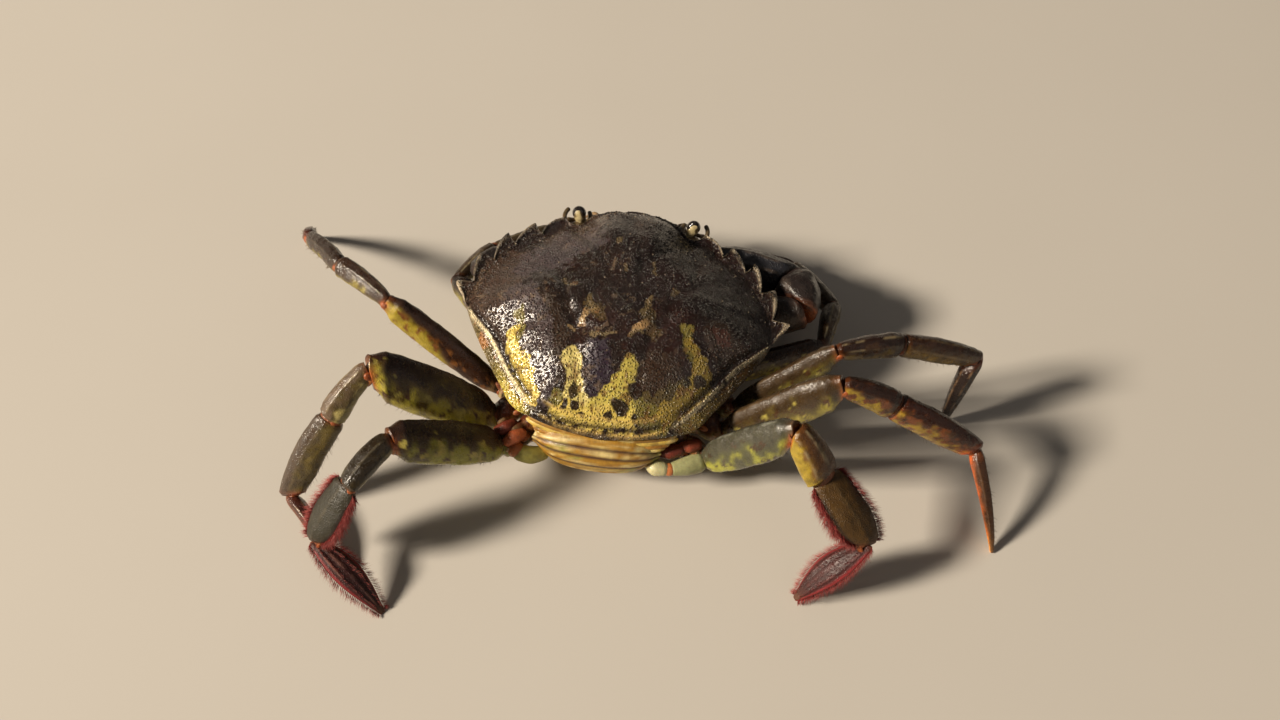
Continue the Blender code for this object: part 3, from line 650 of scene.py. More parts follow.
def dactylusPiece(name, start, tip, look, seed, flat):  # a ridged spike or leaf, on a small flat
    direction = unit(tip - start[0])
    rear, up = limbAxes(direction)
    wide = abs((nodeCorners(name).reshape(-1, 3) - start[0]) @ rear).max() / 0.924
    tall = 0.85 if flat else 1.3 * wide / 1.1
    look = dict(look, bow=0.9, lip=0.03)
    end = (tip + np.array([0, 0, 0.02]), direction)
    grid, t, fore, over, ridge, outward = segmentGrid(start, end, leafShape if flat else spikeShape,
                                                      (tall, wide), rear, up, look, 64, 48)
    tint = paintLimb(look, grid, t, fore, over, ridge, seed)
    if flat:
        tint = laid(tint, margin, step(0.72, 0.95, abs(fore)) * step(0.03, 0.12, t))
    grid[..., 2] = np.maximum(grid[..., 2], aboveFloor)
    points = tube(grid)
    points[:, 2] = np.maximum(points[:, 2], aboveFloor)
    skinPiece(skinName(name), points, tint, paddleFinish if flat else limbFinish, (name,))
    return limbFacts(start, tip, rear, up, (tall, wide), grid, outward)


def jointFill(bodies, joint, before, after, sizeBefore, sizeAfter):  # soft skin and two hinge knobs
    rows, cols = 9, 28
    middle, rear, up = joint[0], before["rear"], before["up"]
    line = smoothPath([middle - unit(before["run"]) * 1.1, middle, middle + unit(after["run"]) * 1.1], rows)
    turn = ringTurn(cols)[0]
    tall, wide = [np.linspace(first, last, rows)[:, None, None] for first,
                  last in zip(sizeBefore, sizeAfter)]
    bulge = 1 + 0.05 * np.cos(np.linspace(-3, 3, rows))[:, None, None]
    fold = 1 + 0.03 * np.sin(np.linspace(0, 14, rows))[:, None, None]
    ring = (np.cos(turn)[:, None] * rear * wide + np.sin(turn)[:, None] * up * tall) * bulge
    tint = laid((0.46, 0.17, 0.05), (0.22, 0.065, 0.022), step(-0.5, 0.5, np.sin(turn)))
    tint = np.broadcast_to(tint, (rows, cols, 3))
    bodies.add(tube(line[:, None] + ring * fold), tubeFaces(rows, cols), padMarks(tint))
    for sign, colour in ((-1, (0.5, 0.27, 0.1)), (1, (0.34, 0.085, 0.02))):
        knob = middle + rear * sign * 0.9 * (sizeBefore[1] + sizeAfter[1]) / 2 - up * 0.25 * sizeBefore[0]
        bodies.add(*ball(knob, axesOf(before), (0.8, 0.4, 0.7), 7, 12), colour)


def rootRod(bodies, hip, shares, radii):  # a limb's root, from its hip in under the body
    path = np.array([hip["start"] + hip["run"] * share for share in shares])
    bodies.add(*rod(path, np.array(radii) * hip["girth"][0], 20), (0.34, 0.26, 0.1))


def slimmer(shape, share):
    return tuple((at, wide * share) for at, wide in shape)


legParts = ("hip", "merus", "carpus", "propodus", "dactylus")
legShapes = {"hip": hipShape, "merus": merusShape, "carpus": carpusShape, "propodus": propodusShape}
hipLobes = {  # lines, radii at their start, middle and end, and colour
    # pale green-cream: painted highlight
    "R": ((((8.6, -25.2, -9.8), (9.8, -26.1, -9.3), (11.2, -26.2, -9.2)), (1.1, 1.5, 1.2),
           (0.54, 0.5, 0.27)),
          (((11.2, -26.2, -9.2), (12.0, -26.1, -9.3), (12.8, -25.8, -9.4)), (1.0, 1.15, 1.0),
           (0.6, 0.2, 0.06)),
          # pale green-cream: painted highlight
          (((12.6, -25.9, -9.4), (14.4, -25.0, -9.6), (16.6, -23.6, -10.0)), (1.2, 1.7, 1.9),
           (0.4, 0.4, 0.19)),
          (((9.8, -23.4, -8.4), (11.6, -23.4, -8.0), (13.4, -22.8, -8.0)), (1.0, 1.4, 1.1),
           (0.17, 0.028, 0.013)),
          (((13.4, -22.4, -8.0), (14.8, -22.0, -7.8), (16.2, -21.4, -8.0)), (0.9, 1.2, 1.0),
           (0.3, 0.06, 0.025))),
    "L": ((((-9.6, -25.8, -10.2), (-11.6, -26.6, -9.9), (-13.4, -26.5, -9.8)), (1.3, 1.6, 1.5),
           (0.4, 0.35, 0.08)),
          (((-13.4, -26.4, -9.5), (-14.2, -26.2, -9.4), (-14.9, -25.9, -9.4)), (1.3, 1.5, 1.3),
           (0.55, 0.17, 0.05)),
          (((-14.6, -26.1, -9.8), (-16.0, -25.5, -9.8), (-17.6, -24.6, -9.8)), (1.4, 1.7, 1.9),
           (0.36, 0.34, 0.08)),
          # bright orange-red: painted highlight on the red hip
          (((-13.4, -23.8, -8.0), (-14.6, -24.8, -7.8), (-15.6, -25.6, -8.3)), (1.0, 1.3, 1.0),
           (0.66, 0.17, 0.06)),
          (((-15.2, -22.2, -7.8), (-16.4, -23.4, -7.6), (-17.6, -23.8, -8.2)), (0.9, 1.2, 1.0),
           (0.2, 0.035, 0.016))),
}
spikeEnds = ((0, 0.8), (1, 0.4))
# the pale knob colour is partly the hips' own colour, partly painted highlight
hipKnobs = (  # share of the hip's length, rearward, upward, size and colour
    (0.3, 0.85, 0.7, 1.1, (0.66, 0.4, 0.2)), (0.62, 0.95, 0.5, 0.95, (0.62, 0.19, 0.06)),
    (0.94, 0.95, 0.3, 1.0, (0.66, 0.4, 0.2)))
limbs = {}


def buildLeg(side, number):
    names = ["leg%d_%s_%s" % (number, part, side) for part in legParts]
    joints = chainJoints(names)
    seed = number * 10 + (5 if side == "R" else 0)
    for k, part in enumerate(legParts):
        look = lookOf(side, number, part)
        look["flat"] = flat = number == 5 and k > 2
        if part == "dactylus":
            made = dactylusPiece(names[k], joints[k], joints[-1][0], look, seed + k, flat)
        else:
            shape = paddleShape if flat else legShapes[part]
            if (side, number, part) == ("L", 2, "propodus"):
                shape = slimmer(shape, 0.82)
            lean = 0 if flat or k == 0 else leans.get((side, number), 0)
            made = limbPiece(names[k], joints[k], joints[k + 1], shape, look, lean, seed + k,
                             paddleFinish if flat else limbFinish)
        limbs[side, number, part] = made
    legJoints(side, number, joints)


def legJoints(side, number, joints):
    soft = Bodies()
    for k in (1, 2, 3, 4):
        bits = [limbs[side, number, legParts[m]] for m in (k - 1, k)]
        sizes = []
        for bit, m, row in ((bits[0], k - 1, -1), (bits[1], k, 0)):
            share = 0.48 if number == 5 and m > 2 else legShapes.get(legParts[m], spikeEnds)[row][1] * 0.8
            sizes.append([half * share for half in bit["girth"]])
        jointFill(soft, joints[k], *bits, *sizes)
    hip = limbs[side, number, "hip"]
    rootRod(soft, hip, (0.1, -0.3, -0.65), (0.88, 0.95, 0.8))
    if number == 5:  # the hindmost hip's rear side, beside the tail
        for lobe, radii, colour in hipLobes[side]:
            radii = np.interp(np.linspace(0, 1, 14), (0, 0.5, 1), radii)
            soft.add(*rod(smoothPath(place(lobe), 14), radii, 18, 0.9), colour)
    tall, wide = hip["girth"]
    for share, sway, rise, size, colour in hipKnobs:
        size = size if number > 3 else size * 0.75
        knob = hip["start"] + hip["run"] * share + hip["rear"] * sway * wide + hip["up"] * rise * tall
        soft.add(*ball(knob, axesOf(hip), (size, size * 0.5, size * 0.65), 8, 14), colour)
    soft.make("leg%d%sJoints" % (number, side), softFinish)


for side in "LR":
    for number in (2, 3, 4, 5):
        buildLeg(side, number)
tell("legs")


# shell: outline and regions in body places (millimetres from the middle of the widest line)
teeth = ((14.1, 17.0), (18.1, 15.3), (22.6, 12.4), (26.4, 7.2), (29.5, 0.3))
notches = ((16.5, 12.8), (20.8, 9.9), (23.8, 5.8), (26.3, 0.5))
sideStart, sideEnd = (27.7, -2.6), (17.3, -19.2)
archLine = ((28.0, 0.2), (22.5, 0.4), (17.0, -1.2), (12.5, -1.4))
grooves = (  # depth, half width, then the line on the right; both sides alike
    (0.42, 1.0,
     ((0.0, -10.9), (3.0, -10.9), (6.2, -9.9), (8.2, -7.0), (9.6, -2.5), (12.6, 1.6), (17.0, 4.6),
      (21.5, 7.2))),
    (0.5, 0.9, ((6.0, -10.6), (6.0, -14.2), (5.0, -18.2), (3.4, -22.6))),
    (0.28, 0.9, ((0.5, 15.0), (2.2, 7.5), (3.0, 1.0), (4.6, -4.6), (7.4, -7.4))),
    (0.35, 0.7, ((0.0, 20.0), (0.0, 12.5))),
    (0.3, 1.0, ((9.2, 13.6), (11.4, 8.2), (11.8, 3.2))),
    (0.25, 1.0, ((8.4, -7.0), (13.5, -9.5), (19.0, -11.0))),
)
swellings = (  # x, y, rise, reach
    (3.6, 9.0, 0.45, 4.0), (0.0, -10.5, 0.55, 4.2), (14.0, -5.0, 0.5, 6.5), (9.0, 1.0, -0.4, 3.0),
    (7.2, -9.5, -0.35, 2.6), (0.0, -3.5, -0.2, 2.5), (3.8, 10.5, 0.45, 3.2), (8.0, 4.5, 0.35, 3.6),
    (0.0, -5.5, 0.35, 3.6), (0.0, -13.8, 0.5, 3.4), (3.0, -13.5, 0.25, 1.6), (12.5, -3.0, 0.4, 3.4),
    (15.5, -11.0, 0.45, 5.5), (20.5, -1.5, 0.3, 4.0), (15.5, 10.5, 0.35, 3.0), (0.0, 3.0, 0.25, 3.0),
    (3.4, 17.8, 0.28, 2.0), (9.5, -16.5, 0.35, 3.2))


def frontEdge(x):
    dips = 0.85 * swell(abs(x), 2.6, 0.75) + 0.12 * swell(abs(x), 6.4, 0.6)
    return 20.5 - 0.028 * x * x - dips


def bowBetween(tip, notch, count, bulge):
    tip, notch = np.array(tip), np.array(notch)
    run = notch - tip
    share = np.linspace(0, 1, count + 1)[:, None]
    out = unit(np.array([-run[1], run[0]]))
    return tip + run * share + out * bulge * 4 * share * (1 - share)


def halfOutline():
    points = [np.stack([x := np.linspace(0, 8.2, 26), frontEdge(x)], -1)]
    turn = np.radians(np.linspace(188, 338, 20))
    points.append(np.stack([10.8 + 2.5 * np.cos(turn), 18.4 + 2.5 * np.sin(turn)], -1))
    after = notches + (sideStart,)
    for k, tip in enumerate(teeth):
        if k:
            points.append(bowBetween(notches[k - 1], tip, 7, -0.18)[1:])
        points.append(bowBetween(tip, after[k], 9, 0.55 if k < 4 else 0.2)[1:])
    down = np.linspace(0, 1, 16)[1:, None]
    points.append(mix(np.array(sideStart), np.array(sideEnd),
                      down) + 4 * down * (1 - down) * np.array([0.42, -0.25]))
    turn = np.linspace(0, 1, 24)[1:, None]
    points.append((1 - turn) ** 2 * np.array(sideEnd) + 2 * turn * (1 - turn) * np.array([15.0, -24.6])
                  + turn**2 * np.array([0, -25.8]))
    return np.concatenate(points)


def polarOf(x, y):
    return np.degrees(np.arctan2(abs(x), y + 2.0)), np.hypot(x, y + 2.0)


def outlineTable():  # degrees from straight ahead, x, y; the angle never falls
    points = halfOutline()
    angle = polarOf(points[:, 0], points[:, 1])[0]
    for k in range(1, len(angle)):
        angle[k] = max(angle[k], angle[k - 1] + 0.12)
    angle[-1] = 180
    for k in range(len(angle) - 2, 0, -1):
        angle[k] = min(angle[k], angle[k + 1] - 0.12)
    return angle, points


plateCount = 268
outlineAngle, outlinePoints = outlineTable()
inside = np.array([(0, 19.8), (4, 19.3), (8, 17.4), (10.8, 15.1), (13.6, 14.9)]
                  + [(x - 0.45, y - 0.35) for x, y in notches]
                  + [(26.5, -3.2), (21.0, -10.9), (15.9, -18.0), (11.0, -22.9), (0.0, -25.1)])
insideAngle, insideRadius = polarOf(inside[:, 0], inside[:, 1])


def smoothRadius(angle):
    return smoothLine(np.stack([insideAngle, insideRadius], -1), angle)


def edgeHeight(y):
    return np.where(y < 0, -0.0047 * y * y, 0.02 * y)


def plateHeight(x, y):  # the shell's upper side over its edge, without the fine grain
    angle, distance = polarOf(x, y)
    share = np.clip(distance / smoothRadius(angle), 0, 1)
    sides = step(14, 34, angle) * (1 - step(84, 104, angle))
    height = 7.9 * (1 - (0.985 * share) ** mix(2.3, 2.1, sides)) ** mix(0.72, 1.22, sides)
    for atX, atY, rise, reach in swellings:
        height = height + rise * np.exp(-((abs(x) - atX) ** 2 + (y - atY) ** 2) / reach**2) * (1 - share**4)
    for depth, half, path in grooves:
        height = height - depth * swell(pathDistance(abs(x), y, path), 0, half) * (1 - share**6) * (
            0.8 + 0.4 * latticeNoise(np.stack([x, y, y * 0 + depth], -1), 3.0, 2))
    return height + 0.45 * swell(pathDistance(abs(x), y, archLine), 0, 1.0) * (1 - share**8), share


def plateGrid(count):  # places over a round grid laid out to the toothed outline
    line = np.sin(np.linspace(-1, 1, count) * math.pi / 2 * 0.8) / math.sin(math.pi / 2 * 0.8)
    u, v = np.meshgrid(line, line, indexing="ij")
    dx, dy = u * np.sqrt(1 - v * v / 2), v * np.sqrt(1 - u * u / 2)
    return dx, dy


def platePlaces(dx, dy):
    share, angle = np.hypot(dx, dy), np.degrees(np.arctan2(abs(dx), dy))
    outX, outY = [np.interp(angle, outlineAngle, column) for column in outlinePoints.T]
    core = 0.955
    radius, inner, turn = smoothRadius(angle), np.minimum(share / core, 1), np.radians(angle)
    out = np.clip((share - core) / (1 - core), 0, 1)
    x = mix(radius * inner * np.sin(turn), outX, out)
    y = mix(-2 + radius * inner * np.cos(turn), outY, out)
    return x * (np.sign(dx) + (dx == 0)), y, out, angle


yellow, limeYellow, olive = (0.78, 0.58, 0.12), (0.52, 0.42, 0.085), (0.19, 0.155, 0.03)
dark, darkRed, greyBrown, peach = (0.014, 0.0055, 0.003), (0.018, 0.006,
                                                           0.003), (0.07, 0.041, 0.028), (0.66, 0.4, 0.17)
plateMarks = (  # colour, strength, roughness of its border, then strokes x, y, x, y, radius
    (greyBrown, 0.8, 0.9, ((-22, -5, -16, -14, 6.0), (-20, 3, -23, -2, 5.0), (-12, 10, -8, 15, 3.5))),
    ((0.048, 0.026, 0.015), 0.6, 0.9,
     ((-10, -17, -12, -8, 3.6), (8, -16, 10, -20, 4.0), (18, -8, 20, -10, 3.0))),
    ((0.085, 0.022, 0.012), 0.55, 1.2, ((18.1, -7.7, 17.0, -6.9, 1.0), (5.0, -8.5, 6.0, -9.2, 0.9))),
    ((0.1, 0.07, 0.022), 0.8, 1.1, ((-5, -21, 9, -21, 2.6), (11, -20, 15, -16, 2.4))),
    ((0.08, 0.06, 0.066), 0.6, 1.1,
     ((-12.0, -13, -10.0, -20, 2.2), (-16.5, -5.5, -13.5, -12.5, 3.4), (-9, 9, -15, 4, 4.2))),
    ((0.03, 0.019, 0.03), 0.95, 0.5, ((-2.4, -14.6, -0.9, -18.6, 2.3), (-0.9, -18.6, -0.9, -20.4, 1.7))),
    (olive, 0.9, 0.8,
     ((-16.5, -7.9, -15.8, -10.9, 0.9), (-15.8, -10.9, -16.4, -12.2, 1.0), (11.5, -8.0, 12.8, -12.0, 1.0),
      (-8.0, -20.8, -7.6, -22.4, 1.1), (5.8, -21.5, 9.6, -22.6, 1.4))),
    # the left side blotch in bright yellow: painted highlight, the lit copy of the darker right blotch
    # below
    (yellow, 1.0, 1.7,
     ((-17.2, -11.2, -15.9, -15.6, 0.9), (-15.6, -15.6, -13.4, -19.6, 1.7),
      (-13.2, -19.6, -11.9, -21.2, 1.2))),
    # the left pale streak lighter than the right one: painted highlight
    ((0.66, 0.54, 0.18), 1.0, 0.9,
     ((-6.6, -15.2, -5.6, -18.0, 1.35), (-5.6, -18.0, -4.9, -20.6, 1.45), (-5.2, -20.6, -2.6, -22.6, 1.5))),
    (limeYellow, 1.0, 0.9,
     ((3.7, -15.6, 2.8, -18.2, 1.15), (2.8, -18.2, 1.2, -20.6, 1.35), (1.2, -20.6, -1.4, -22.6, 1.5),
      (3.4, -19.0, 4.2, -22.6, 1.0))),
    ((0.66, 0.5, 0.11), 1.0, 1.0, ((-7.0, -23.0, -2.0, -23.6, 1.4), (-2.0, -23.6, 4.5, -23.4, 1.3))),
    # the right side blotch in a darker yellow: painted shade, the shaded copy of the left blotch
    ((0.33, 0.23, 0.035), 0.95, 1.1,
     ((12.4, -10.2, 14.9, -13.6, 1.1), (14.6, -13.0, 15.0, -16.0, 1.8), (14.9, -16.0, 13.4, -18.6, 1.6),
      (13.4, -18.6, 9.8, -21.2, 1.3))),
    (darkRed, 0.95, 0.5,
     ((14.8, -15.0, 15.0, -15.4, 0.9), (4.9, -18.4, 5.2, -20.0, 0.9), (-5.4, -19.6, -5.2, -20.6, 0.75))),
    (peach, 0.9, 0.8, ((3.6, -9.9, 4.9, -8.3, 0.75),)),
    ((0.44, 0.29, 0.13), 0.75, 1.3,
     ((-5.5, -8.2, -5.0, -9.6, 0.62), (-4.2, -7.4, -3.6, -7.8, 0.5), (-7.6, -9.8, -7.1, -10.3, 0.45))),
    ((0.1, 0.065, 0.022), 0.6, 1.5, ((-4.6, -6.6, -3.0, -8.0, 1.2), (5.0, -7.0, 6.2, -9.4, 1.2))),
    (dark, 0.98, 0.5,
     ((2.2, -21.4, 3.0, -21.9, 1.05), (1.0, -23.1, 1.1, -23.2, 0.6), (-4.6, -22.2, -4.4, -22.4, 0.65),
      (-3.1, -23.6, -3.0, -23.7, 0.5), (-6.6, -21.9, -6.7, -22.3, 0.6), (5.2, -23.0, 5.4, -23.1, 0.6))),
    ((0.36, 0.27, 0.13), 0.5, 1.6,
     ((-3.2, -11.5, 0.4, -11.2, 0.42), (2.8, -10.7, 4.6, -10.4, 0.4), (-7.8, -2.8, -7.5, -2.9, 0.45))),
    ((0.2, 0.14, 0.06), 0.6, 1.2,
     ((-4.2, -6.8, -5.2, -4.2, 0.5), (4.4, -6.6, 5.4, -3.4, 0.55), (0.2, 2.4, 0.4, 1.6, 0.45),
      (8.6, -2.2, 9.2, -0.5, 0.4), (-9.0, -2.4, -9.8, -0.6, 0.4), (-1.6, 7.5, -1.7, 8.2, 0.4),
      (5.0, 4.2, 5.6, 2.0, 0.35))),
)


def paintPlate(x, y, share, out, angle):
    spots = np.stack([x, y, 0 * x], -1)
    fine, broad = cloudNoise(spots, 1.4, 21), cloudNoise(spots, 6.5, 31)
    tint = laid(dark, (0.026, 0.009, 0.006), step(-0.3, 0.8, broad + 0.5 * fine))
    tint = laid(tint, (0.03, 0.018, 0.018), step(4, 16, y) * step(-0.4, 0.5, -broad) * 0.6)
    # the right side darker and redder: painted shade
    tint = laid(tint, tint * (0.75, 0.55, 0.5), step(-4, 8, x))
    tint = laid(tint, (0.062, 0.034, 0.014), step(-12, -22, y) * 0.6 * step(-0.3, 0.5, fine + broad))
    wander = 0.55 * fine + 0.35 * cloudNoise(spots, 0.7, 41, 2)
    nearX, nearY = x + 0.6 * cloudNoise(spots, 2.0, 51), y + 0.6 * cloudNoise(spots, 2.0, 61)
    for colour, strength, rough, strokes in plateMarks:
        found = strokeReach(nearX, nearY, strokes)
        found = step(0.4, 0.62, found + rough * wander * 0.6 * step(0, 0.3, found))
        tint = laid(tint, colour, found * strength)
    pale = step(0.42, 0.66, cloudNoise(spots, 0.62, 71, 2)) * step(-0.3, 0.4, cloudNoise(spots, 5.0, 81))
    tint = laid(tint, (0.26, 0.18, 0.11), pale * 0.34 * (1 - 0.7 * step(-2, 14, x)))
    freckle = step(0.34, 0.56, cloudNoise(spots, 0.8, 91, 2)) * step(0.1, 0.2, tint.max(-1))
    return laid(tint, (0.14, 0.05, 0.016), freckle * 0.7), fine


wallOlive, bellyTint = (0.17, 0.12, 0.04), (0.4, 0.3, 0.1)
wallFoot = np.array([(0, 0.9, -2.6), (24, 0.9, -3.0), (34, 0.66, -9.2), (52, 0.62, -9.2), (62, 0.71, -6.2),
                     # angle, share of the outline, z
                     (90, 0.74, -6.2), (130, 0.8, -6.3), (180, 0.88, -6.0)])
wallSteps = (  # share inward, drop, pull, pull on the strip
    (0.0, 0.35, 0.1, 0.3), (0.0, 0.75, 0.35, 0.65), (0.35, 1.15, 0.7, 0.9), (0.8, 1.4, 0.0, 0.0),
    (1, 1.5, 0.0, 0.0))


def wallStrip(angle):  # where the side wall shows outside the beaded ridge
    return step(96, 101, angle) * (1 - step(143, 152, angle))


def shellPiece():
    x, y, out, angle = platePlaces(*plateGrid(plateCount))
    height, share = plateHeight(x, y)
    reach = np.hypot(x, y + 2) - smoothRadius(polarOf(x, y)[0])  # past the smooth edge
    strip, back = wallStrip(angle), step(150, 157, angle)
    z = shellHeights(x, y, out, angle, height, share, reach, strip, back)
    tint = paintShell(x, y, out, angle, share, reach, strip, back)
    points = place(np.stack([x, y, z], -1).reshape(-1, 3))
    index = np.arange(plateCount**2).reshape(plateCount, plateCount)
    faces = np.stack([index[:-1, :-1], index[1:, :-1], index[1:, 1:], index[:-1, 1:]],
                     -1).reshape(-1, 4).tolist()
    last = np.concatenate([index[:-1, 0], index[-1, :-1], index[:0:-1, -1], index[0, :0:-1]])
    rimX, rimY, rimAngle = [values.ravel()[last] for values in (x, y, angle)]
    wallRows, wallTints = wallBelow(rimX, rimY, rimAngle)
    for k in range(len(wallRows)):
        here = plateCount**2 + k * len(last) + np.arange(len(last))
        faces += np.stack([last, np.roll(last, -1), np.roll(here, -1), here], -1).tolist()
        last = here
    centre = plateCount**2 + len(wallRows) * len(last)
    faces += [[a, b, centre] for a, b in zip(last.tolist(), np.roll(last, -1).tolist())]
    every = np.concatenate([points] + [place(row) for row in wallRows] + [place([[0, -2, -6.5]])])
    tints = np.concatenate([tint.reshape(-1, 3)] + wallTints + [wallTints[-1][:1]])
    makePiece("shell", every, faces, plateFinish, ("carapace",), tints)
    grid = points.reshape(plateCount, plateCount, 3)
    facing = unit(np.cross(np.gradient(grid, axis=0), np.gradient(grid, axis=1)))
    facing = facing * np.sign(facing[..., 2:])
    return {"points": grid, "facing": facing, "tint": tint, "x": x, "y": y, "out": out, "share": share,
            "rimX": rimX, "rimY": rimY}


# rise, place, width
rearRims = ((0.3, 0.1, 0.26), (-0.38, -0.75, 0.32), (0.26, -1.7, 0.34), (-0.2, -2.6, 0.5))


def shellHeights(x, y, out, angle, height, share, reach, strip, back):
    sides = step(14, 34, angle) * (1 - step(84, 104, angle))
    slope = mix(0.68, 0.3, sides) * np.sqrt(np.clip(1 - out**2.2, 0, 1))
    top = np.where(out > 0, slope - strip * 0.9 * step(0.0, 1.0, out), height)
    beaded = strip * swell(reach, -0.1, 0.28) * 0.42 * (0.75 + 0.25 * np.sin(angle * 5.2))
    dip = strip * swell(reach, -0.95, 0.45) * 0.3
    rims = back * sum(rise * swell(reach, at, wide) for rise, at, wide in rearRims)
    front = (1 - step(10, 12, angle)) * (0.22 * swell(out, 0.45, 0.4))
    toothEdge = step(28, 34, angle) * (1 - step(90, 98, angle))
    toothEdge = toothEdge * (0.26 * swell(out, 0.8, 0.2) - 0.2 * swell(out, 0.3, 0.3))
    spots = np.stack([x, y, 0 * x], -1)
    lumps = 0.13 * cloudNoise(spots, 3.4, 101) * (1 - step(0.86, 1.0,
                                                           share)) + 0.045 * cloudNoise(spots, 0.9, 111, 2)
    return edgeHeight(y) + top + beaded - dip + rims + front + toothEdge + lumps * (1 - 0.7 * out)


def paintShell(x, y, out, angle, share, reach, strip, back):
    tint, fine = paintPlate(x, y, share, out, angle)
    spots = np.stack([x, y, 0 * x], -1)
    wall = laid(wallOlive, (0.6, 0.47, 0.08), step(120, 138, angle))
    wall = laid(wall, (0.46, 0.15, 0.02), step(0.25, 0.5, cloudNoise(spots, 1.1, 121, 2)) * 0.55)
    # the side wall darker on the right: painted shade
    wall = laid(wall, (0.1, 0.055, 0.014), step(2, 16, x) * 0.8)
    tint = laid(tint, wall, strip * step(0.1, 0.55, out + 0.12 * fine))
    leftSide = 1 - step(-8, 8, x)
    # a cream line along the beaded ridge, wider and unbroken on the left: painted highlight
    beadHighlight = strip * swell(reach, 0.02, 0.2 + 0.06 * leftSide)
    beadHighlight = beadHighlight * step(-0.75, 0.0, cloudNoise(spots, 0.9, 131, 2) + leftSide)
    # a dark line in the gutter just inside the ridge: painted shadow of the ridge
    tint = laid(tint, dark, strip * swell(reach, -0.8, 0.5) * 0.9)
    tint = laid(tint, (0.9, 0.76, 0.48), np.clip(beadHighlight * 1.2, 0, 1))
    # pale lines on the raised rear rims: painted highlight; the dark line in the groove between them:
    # painted shade
    rearRimHighlight = back * (swell(reach, 0.05, 0.22) + 0.8 * swell(reach, -1.6, 0.22)) * step(-0.6, 0.1, fine)
    tint = laid(tint, (0.62, 0.42, 0.12), np.clip(rearRimHighlight * 0.8, 0, 1))
    tint = laid(tint, dark, back * swell(reach, -0.75, 0.3) * 0.85)
    # pale tooth tips: partly the teeth's own colour, partly painted highlight
    toothTip = step(22, 28, angle) * (1 - step(92, 98, angle)) * step(0.6, 0.95, out)
    toothTip = toothTip * (0.25 + 0.75 * step(8, 16, x) + 0.6 * step(-26, -28, x)) * step(-0.7, 0.2, fine)
    tint = laid(tint, (0.8, 0.66, 0.46), np.clip(toothTip, 0, 1))
    return laid(tint, (0.14, 0.09, 0.045), (1 - step(14, 22, angle)) * step(0.72, 0.98, out) * 0.6)


def wallBelow(x, y, angle):  # rows from the shell's edge down and in under it
    footShare, footZ = [np.interp(angle, wallFoot[:, 0], wallFoot[:, k]) for k in (1, 2)]
    sign, radius, turn = np.sign(x) + (x == 0), smoothRadius(angle), np.radians(angle)
    edge, strip = edgeHeight(y), wallStrip(angle)
    rows, tints = [], []

    def under(share):  # places at a share of the way out
        return sign * radius * share * np.sin(turn), -2 + radius * share * np.cos(turn)

    for share, drop, pull, stripPull in wallSteps:
        inward = np.stack([-x, -2 - y], -1)
        inward = inward / np.linalg.norm(inward, axis=-1, keepdims=True)
        near = (np.stack([x, y], -1) + inward * (pull + strip * stripPull)[:, None]).T
        rowX, rowY = [mix(a, b, share) for a, b in zip(near, under(0.95))]
        fallen = edge - drop * (0.62 + 0.38 * step(0, 1, share)) - strip * 0.7
        rows.append(np.stack([rowX, rowY, fallen], -1))
        lime = laid(wallOlive, (0.56, 0.46, 0.06), step(118, 134, angle))
        wall = np.where((strip > 0.5)[:, None], lime, np.array((0.2, 0.14, 0.05)))
        tints.append(mix(wall, bellyTint, share))
    start = edge - 1.5 - strip * 0.7
    for share in np.linspace(0.12, 1, 9):
        deep = mix(start, footZ, share**1.15) + 0.15 * np.sin(share * 9) * (share < 0.95)
        rows.append(np.stack([*under(mix(0.95, footShare, share ** 0.8)), deep], -1))
        spot = step(0.1, 0.5, cloudNoise(rows[-1], 1.3, 141, 2))
        tints.append(laid(bellyTint, (0.26, 0.13, 0.04), spot * 0.5))
    for share in (0.8, 0.42):
        rows.append(np.stack([*under(footShare * share), mix(footZ, -6.5, 1 - share)], -1))
        tints.append(np.tile((0.36, 0.26, 0.12), (len(x), 1)))
    return rows, tints


def rearBands():  # the first rings of the tail, which follow the shell's rear edge
    bodies = Bodies()
    rear = outlinePoints[outlineAngle > 146]
    line = np.concatenate([rear * [-1, 1], rear[-2::-1]])
    for inward, low, radius, spread, colour in ((0.75, -1.15, 0.62, 1.0, (0.34, 0.18, 0.03)),
                                                (0.35, -1.75, 0.55, 0.97, (0.66, 0.46, 0.09)),
                                                (0.05, -2.4, 0.58, 0.86, (0.42, 0.2, 0.025)),
                                                (-0.25, -3.0, 0.5, 0.82, (0.6, 0.42, 0.09))):
        kept = line[abs(line[:, 0]) < abs(line[:, 0]).max() * spread]
        toward = unit(np.array([0.0, -6.0]) - kept)
        path = np.concatenate([kept + toward * inward, (edgeHeight(kept[:, 1]) + low)[:, None]], 1)
        path[:, 2] = mix(path[:, 2], path[:, 2].min(), 0.35)
        t = np.linspace(0, 1, 110)
        radii = radius * (0.35 + 0.65 * np.sqrt(np.clip(np.minimum(t, 1 - t) / 0.06, 0, 1)))
        points, faces = rod(place(smoothPath(path, len(t))), radii, 14, 1.1)
        hue = cloudNoise(points, 1.4, 231)
        tint = laid(colour, (0.7, 0.56, 0.22), step(0.1, 0.7, hue) * 0.7)
        bodies.add(points, faces, laid(tint, (0.14, 0.06, 0.015), step(0.2, 0.8, -hue) * 0.6))
    bodies.make("tailRings", bellyFinish)


shell = shellPiece()
rearBands()
tell("shell")


